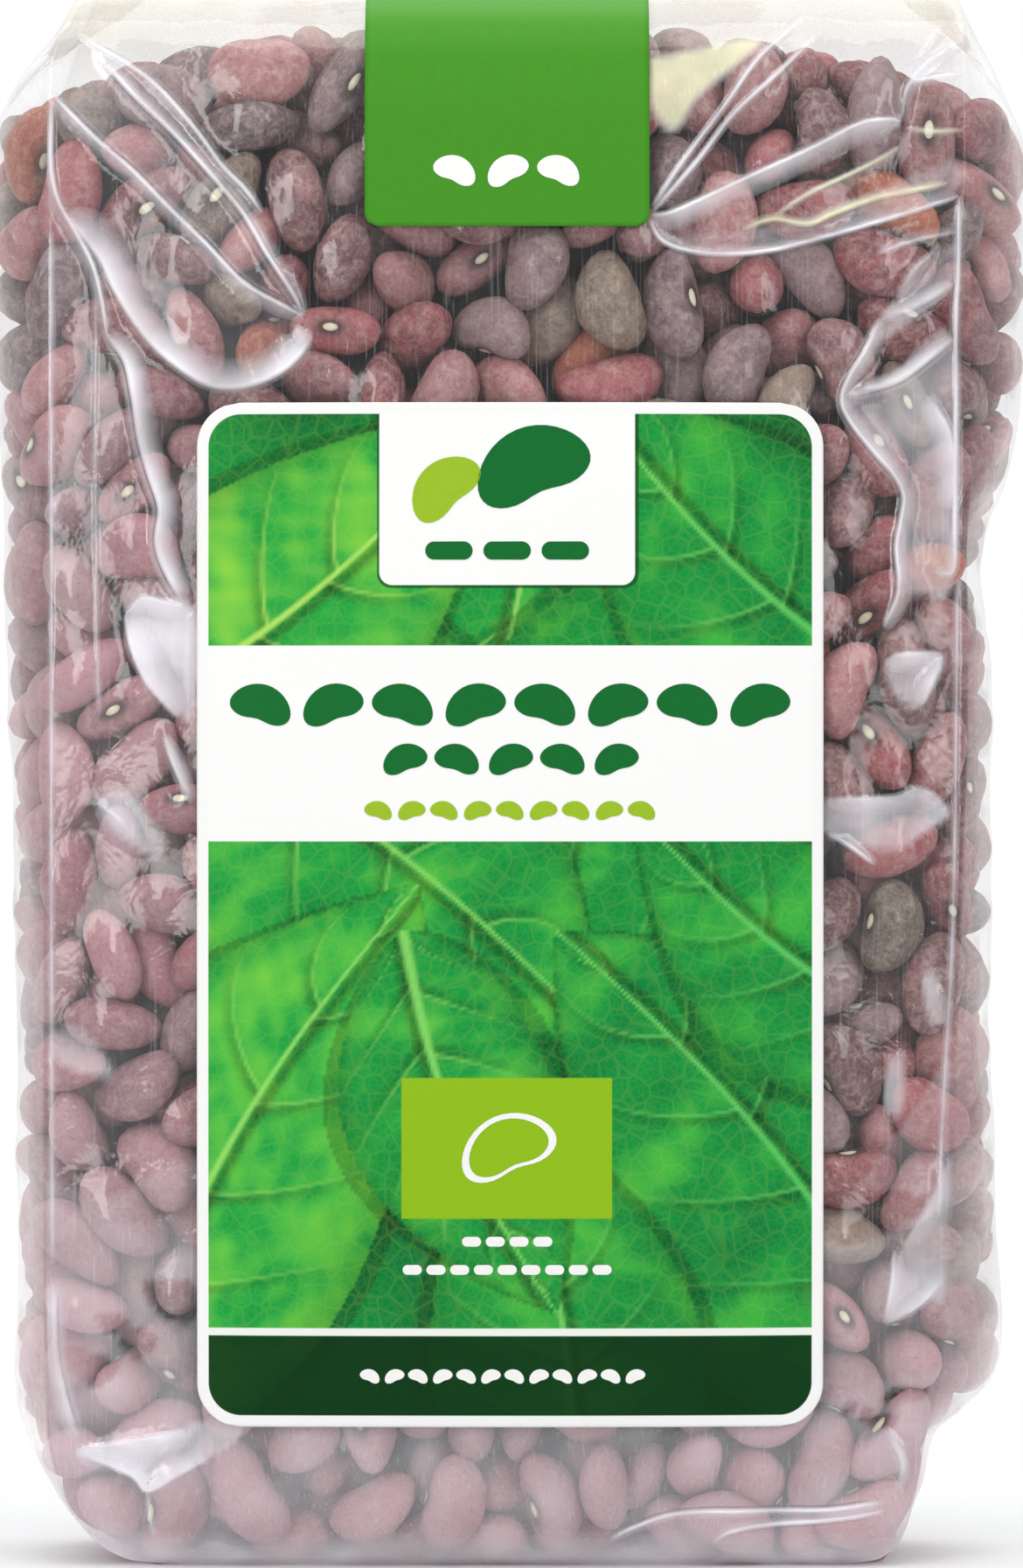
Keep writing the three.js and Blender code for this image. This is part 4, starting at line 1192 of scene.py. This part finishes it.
# The label's layout, in mm: [left, right], [low, high]
layout = {
    "picture": ((-39.1, 39.9), (20.4, 151.5)),
    "upperBand": ((-60, 60), (95.6, 121.2)),
    "panel": ((-16.7, 16.7), (129.1, 170)),
    "panelShade": ((-17.0, 17.2), (128.7, 170)),
    "square": ((-13.8, 13.7), (46.3, 64.7)),
    "lowLine": ((-60, 60), (30.9, 31.9)),
    "lowBand": ((-60, 60), (0, 31.0)),
}


# Varnished paper printed in four colours: a satin surface with a soft even gloss, white paper at the border
def makeLabelPaper():
    material, add = newMaterial("varnishedLabelPaper")
    place = add("TexCoord").outputs["Object"]
    scaled = add("VectorMath", {0: place, "Scale": 1000.0}, operation="SCALE")
    axes = add("SeparateXYZ", {0: scaled})
    x, z = axes.outputs["X"], axes.outputs["Z"]
    painted = add("Attribute", attribute_name="leafTint").outputs["Color"]
    # the net of finest veins: cell walls 2.6 mm and 1 mm apart, paler than the leaf between them
    wide = add("TexVoronoi", {"Vector": scaled, "Scale": 1 / 2.6}, feature="DISTANCE_TO_EDGE")
    fine = add("TexVoronoi", {"Vector": scaled, "Scale": 1 / 1.0}, feature="DISTANCE_TO_EDGE")
    wideLine = add("MapRange", {"Value": wide, "From Min": 0.09, "From Max": 0.02, "To Max": 0.12})
    fineLine = add("MapRange", {"Value": fine, "From Min": 0.16, "From Max": 0.03, "To Max": 0.06})
    net = add("Math", {0: wideLine, 1: fineLine}, operation="MAXIMUM")
    picture = add("Mix", {"Factor": net, "A": painted, "B": linear("96cf57")}, data_type="RGBA")
    layers = [
        ("lowBand", 0.1, "00350f", 0.96), ("lowLine", 0.1, "f4f8f1", 1.0), ("upperBand", 0.1, "fdfdfc", 1.0),
        ("panelShade", 1.9, "0d4a20", 0.8), ("panel", 1.7, "fdfdfc", 1.0), ("square", 0.1, "93c11b", 1.0),
    ]
    colour = picture
    for name, corner, tint, cover in layers:
        mask = boxMask(add, x, z, layout[name], corner)
        share = add("Math", {0: mask, 1: cover}, operation="MULTIPLY")
        colour = add("Mix", {"Factor": share, "A": colour, "B": linear(tint)}, data_type="RGBA")
    inner = boxMask(add, x, z, layout["picture"], labelPrint["corner"] - 1.4)
    printed = add("Mix", {"Factor": inner, "A": linear("fbfbfa"), "B": colour}, data_type="RGBA")
    tooth = add("TexNoise", {"Vector": scaled, "Scale": 2.2, "Detail": 3.0})
    pressed = add("Bump", {"Height": tooth, "Strength": 0.12, "Distance": 0.0001})
    paper = add("BsdfPrincipled",
        {"Base Color": printed, "Roughness": 0.42, "Specular IOR Level": 0.13, "Normal": pressed})
    add("OutputMaterial", {"Surface": paper})
    return material


# The label's face over the film at [x, height]: the panel's own curve, a little proud, with faint swells
def labelFace(x, z, stand):
    swell = 0.12 * softWaves(x, z, 30, 8)
    return np.stack([x, -(panelDepth(x, z) + stand + swell), z], axis=-1)


# A sheet from a grid of points with a rim turned back by so much all round its edge
def withRim(points, back):
    rows, columns = points.shape[:2]
    index = np.arange(rows * columns).reshape(rows, columns)
    loop = np.concatenate([index[0, :-1], index[:-1, -1], index[-1, :0:-1], index[:0:-1, 0]])
    flat = points.reshape(-1, 3)
    rim = flat[loop] + back[loop]
    start = len(flat)
    ring = np.arange(len(loop))
    after = (ring + 1) % len(loop)
    quads = np.stack([loop, start + ring, start + after, loop[after]], axis=1)
    return np.concatenate([flat, rim]), [gridFaces(rows, columns), quads]


def makeLabel():
    rows, columns = labelPrint["grid"]
    along = np.linspace(0, labelPrint["top"] - labelPrint["bottom"], rows)
    half = roundedHalf(labelPrint["width"] / 2, labelPrint["corner"], np.minimum(along, along[-1] - along))
    x = labelPrint["middle"] + half[:, None] * np.linspace(-1, 1, columns)[None]
    z = (labelPrint["bottom"] + along)[:, None] + 0 * x
    tint = paintLeaves(x - labelPrint["middle"], z - (labelPrint["bottom"] + labelPrint["top"]) / 2)
    back = np.tile([0, labelPrint["stand"], 0], (rows * columns, 1))
    points, faces = withRim(labelFace(x, z, labelPrint["stand"]), back)
    tint = np.concatenate([tint.reshape(-1, 4), np.ones((len(points) - rows * columns, 4))])
    piece = makePiece("frontLabel", points, faces, makeLabelPaper(), {"leafTint": tint})
    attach(piece, "root")
    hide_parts("front_label")


makeLabel()
print("label ready")

# The strip over the folded top: its line runs up the front, over the ridge and down the back
def stripLine():
    z = np.linspace(stripPrint["end"], bag["height"], 3000)
    y = -panelDepth(0 * z, z)
    y, z = np.r_[y, -y[-2::-1]], np.r_[z, z[-2::-1]]
    along = np.r_[0, np.cumsum(np.hypot(np.diff(y), np.diff(z)))]
    even = np.linspace(0, along[-1], stripPrint["grid"][0])
    return np.interp(even, along, y), np.interp(even, along, z), even


# Varnished paper in one even green, with painted light: paler where it bends over the top to face the light
# above
def makeStripPaper():
    material, add = newMaterial("varnishedStripPaper")
    place = add("TexCoord").outputs["Object"]
    height = add("SeparateXYZ", {0: place}).outputs["Z"]
    # painted light: the green turns paler over the bend
    bend = add("MapRange", {"Value": height, "From Min": 0.2025, "From Max": 0.2055, "To Max": 0.35})
    green = add("Mix", {"Factor": bend, "A": linear("479625"), "B": linear("6cb152")}, data_type="RGBA")
    mottle = add("TexNoise", {"Vector": place, "Scale": 900.0, "Detail": 3.0})
    faint = add("MapRange", {"Value": mottle, "To Min": 0.94, "To Max": 1.05})
    printed = add("VectorMath", {0: green, "Scale": faint}, operation="SCALE")
    tooth = add("Bump", {"Height": mottle, "Strength": 0.12, "Distance": 0.0001})
    paper = add("BsdfPrincipled",
        {"Base Color": printed, "Roughness": 0.45, "Specular IOR Level": 0.13, "Normal": tooth})
    add("OutputMaterial", {"Surface": paper})
    return material


def makeStrip():
    y, z, along = stripLine()
    columns = stripPrint["grid"][1]
    run = np.gradient(np.stack([y, z], axis=1), axis=0)
    run /= np.linalg.norm(run, axis=1, keepdims=True)
    outward = np.stack([0 * y, -run[:, 1], run[:, 0]], axis=1) * stripPrint["stand"]
    half = roundedHalf(stripPrint["width"] / 2, stripPrint["corner"], np.minimum(along, along[-1] - along))
    x = half[:, None] * np.linspace(-1, 1, columns)[None]
    depth = np.sign(y)[:, None] * panelDepth(x, z[:, None])
    sheet = np.stack([x, depth, z[:, None] + 0 * x], axis=-1) + outward[:, None]
    points, faces = withRim(sheet, np.repeat(-outward, columns, axis=0))
    piece = makePiece("closureStrip", points, faces, makeStripPaper())
    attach(piece, "root")
    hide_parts("closure_strip")


makeStrip()
print("strip ready")


# Printed marks: small bean shapes and plain bars, each a thin raised patch of ink on the paper.
# A bean's outline is an ellipse whose ends bend down, with a dent under its middle.
def beanOutline(length, turn, points=36):
    a = np.arange(points) * 2 * math.pi / points
    x, y = np.cos(a), 0.62 * np.sin(a)
    y = y - 0.17 * (x ** 2 - 0.3) + 0.12 * np.exp(-(x / 0.4) ** 2) * np.clip(-np.sin(a), 0, 1)
    x, y = x * length / 2, y * length / 2
    return np.stack([x * math.cos(turn) - y * math.sin(turn), x * math.sin(turn) + y * math.cos(turn)],
        axis=1)


def barOutline(length, height, points=36):
    a = np.arange(points) * 2 * math.pi / points
    x = np.cos(a) * height / 2 + np.sign(np.cos(a) + 1e-9) * (length - height) / 2
    return np.stack([x, np.sin(a) * height / 2], axis=1)


# A solid mark, or a ring where it has a hole: outlines of matching points scaled about its middle
def markSheet(outline, middle, hole=0.0, rings=4):
    scales = np.linspace(max(hole, 0.001), 1, rings)
    flat = (outline[None] * scales[:, None, None]).reshape(-1, 2) + middle
    return flat, gridFaces(rings, len(outline), wrapped=True)


# Rows of marks in each ink: the shape, its length, the turns of every other bean or the heights of every
# other bar, how many, how far apart, the row's middle in [x, height] and how much of a shape is a hole
marks = {
    "DarkGreen": {"colour": "126f30", "rows": [
        (beanOutline, 8.2, (-0.3, 0.35), 8, 9.3, (0.4, 113.4), 0),
        (beanOutline, 6, (0.35, -0.3), 5, 6.9, (0.4, 106.3), 0),
        # in the panel: one large bean over a short row of bars
        (beanOutline, 15.5, (0.4, 0.4), 1, 0, (3.2, 144.6), 0),
        (barOutline, 6.2, (2.4, 2.4), 3, 7.6, (0, 133.6), 0),
    ]},
    "LightGreen": {"colour": "9fc42c", "rows": [
        (beanOutline, 3.7, (-0.3, 0.3), 9, 4.3, (0.4, 99.6), 0),
        (beanOutline, 10.5, (0.75, 0.75), 1, 0, (-8.2, 141.8), 0),
    ]},
    "White": {"colour": "fbfbf8", "rows": [
        (beanOutline, 13, (0.4, 0.4), 1, 0, (0, 55.6), 0.84),
        (barOutline, 2.5, (1.3, 1.3), 4, 3.1, (0, 43.3), 0),
        (barOutline, 2.5, (1.3, 1.3), 9, 3.1, (0, 39.6), 0),
        (beanOutline, 2.7, (-0.4, 0.4), 12, 3.15, (-0.6, 25.6), 0),
        (beanOutline, 5.8, (-0.4, 0.5), 3, 6.8, (0, 183.4), 0),  # on the strip
    ]},
}


def makeInk(name, colour):
    material, add = newMaterial(name)
    place = add("TexCoord").outputs["Object"]
    grain = add("TexNoise", {"Vector": place, "Scale": 1500.0, "Detail": 2.0})
    faint = add("MapRange", {"Value": grain, "To Min": 0.94, "To Max": 1.04})
    tint = add("VectorMath", {0: linear(colour)[:3], "Scale": faint}, operation="SCALE")
    skin = add("BsdfPrincipled", {"Base Color": tint, "Roughness": 0.42, "Specular IOR Level": 0.13})
    add("OutputMaterial", {"Surface": skin})
    return material


def makeMarks():
    for name, ink in marks.items():
        points, faces, offset = [], [], 0
        for shape, length, others, count, step, (middle, height), hole in ink["rows"]:
            for k in range(count):
                at = np.array([step * (k - (count - 1) / 2) + middle, height])
                flat, grid = markSheet(shape(length, others[k % 2]), at, hole)
                x, z = flat.T
                sheet = labelFace(x, z, labelPrint["stand"] + 0.05)
                if height > stripPrint["end"]:
                    sheet[:, 1] = -(panelDepth(x, z) + stripPrint["stand"] + 0.06)
                points.append(sheet)
                faces.append(grid[:, ::-1] + offset)
                offset += len(flat)
        piece = makePiece("printedMarks" + name, np.concatenate(points), [np.concatenate(faces)],
            makeInk("printedInk" + name, ink["colour"]))
        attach(piece, "root")


makeMarks()
print("marks ready")

# The studio: a pale floor, a bright soft surround and tall softboxes to both sides
studio = {
    "floor": "f3f7f8",
    "foot": (0.046, 0.02, 1.0),
    "fade": (0.002, 0.1),  # metres off its foot where the floor starts and ends melting into the white
    "overhead": 1.05,  # the brightness of the white surround straight above
    "level": 0.27,  # and at eye level
    "behind": 0.65,  # what the lit wall behind adds
    "seen": 1.0,
    "softboxes": {
        "leftBox": {"at": (-0.62, -1.2, 0.62), "size": (0.28, 1.2), "power": 4.3},
        "rightBox": {"at": (0.66, -1.15, 0.62), "size": (0.2, 1.2), "power": 2.2},
        "topBox": {"at": (0.0, -0.35, 1.1), "size": (0.9, 0.6), "power": 3.0},
    },
}


def makeStudio():
    material, add = newMaterial("paleStudioFloor")
    place = add("TexCoord").outputs["Object"]
    cloud = add("TexNoise", {"Vector": place, "Scale": 3.0, "Detail": 2.0})
    pale = add("Mix", {"Factor": cloud, "A": linear(studio["floor"]), "B": linear("eaeeef")},
        data_type="RGBA")
    skin = add("BsdfPrincipled", {"Base Color": pale, "Roughness": 0.8})
    # how far a point is from the bag's foot: past its half width and half depth
    folded = add("VectorMath", {0: place}, operation="ABSOLUTE")
    past = add("VectorMath", {0: folded, 1: studio["foot"]}, operation="SUBTRACT")
    kept = add("VectorMath", {0: past, 1: (0, 0, 0)}, operation="MAXIMUM")
    distance = add("VectorMath", {0: kept}, operation="LENGTH")
    gone = add("MapRange",
        {"Value": distance, "From Min": studio["fade"][0], "From Max": studio["fade"][1]},
        interpolation_type="SMOOTHSTEP")
    nothing = add("BsdfTransparent")
    faded = add("MixShader", {0: gone, 1: skin, 2: nothing})
    add("OutputMaterial", {"Surface": faded})
    half = 1500.0
    corners = np.array([(-half, -half, 0), (half, -half, 0), (half, half, 0), (-half, half, 0)])
    floor = makePiece("studioFloor", corners, [np.array([[0, 1, 2, 3]])], material)
    for name, box in studio["softboxes"].items():
        data = bpy.data.lights.new(name, "AREA")
        data.shape = "RECTANGLE"
        data.size, data.size_y = box["size"]
        data.energy = box["power"]
        lamp = bpy.data.objects.new(name, data)
        lamp.location = box["at"]
        aim = Vector((0, 0, 0.1)) - lamp.location
        lamp.rotation_euler = aim.to_track_quat("-Z", "Y").to_euler()
        bpy.context.scene.collection.objects.link(lamp)
    world = bpy.data.worlds.new("studio")
    bpy.context.scene.world = world
    world.use_nodes = True
    world.node_tree.nodes.clear()
    add = partial(addNode, world.node_tree)
    seen = add("LightPath").outputs["Is Camera Ray"]
    # the surround brightens from eye level to overhead, as a room of white panels does
    toward = add("TexCoord").outputs["Generated"]
    height = add("SeparateXYZ", {0: toward}).outputs["Z"]
    above = add("MapRange", {"Value": height, "To Min": studio["level"], "To Max": studio["overhead"]},
        interpolation_type="SMOOTHSTEP")
    # below eye level it is as bright as the floor that it carries on
    below = add("MapRange", {"Value": height, "From Min": -0.02, "From Max": -0.12, "To Max": 0.55})
    # and the wall behind the bag is lit too
    depth = add("SeparateXYZ", {0: toward}).outputs["Y"]
    behind = add("MapRange", {"Value": depth, "From Min": 0.0, "From Max": 0.8, "To Max": studio["behind"]})
    front = add("Math", {0: above, 1: below}, operation="ADD")
    brightness = add("Math", {0: front, 1: behind}, operation="ADD")
    glow = add("Background", {"Color": (1, 1, 1, 1), "Strength": brightness})
    backdrop = add("Background", {"Color": (1, 1, 1, 1), "Strength": studio["seen"]})
    whole = add("MixShader", {0: seen, 1: glow, 2: backdrop})
    add("OutputWorld", {"Surface": whole})


makeStudio()
scene = bpy.context.scene
scene.view_settings.view_transform = "Standard"
scene.cycles.transparent_max_bounces = 14
scene.cycles.max_bounces = 6
print("studio ready")
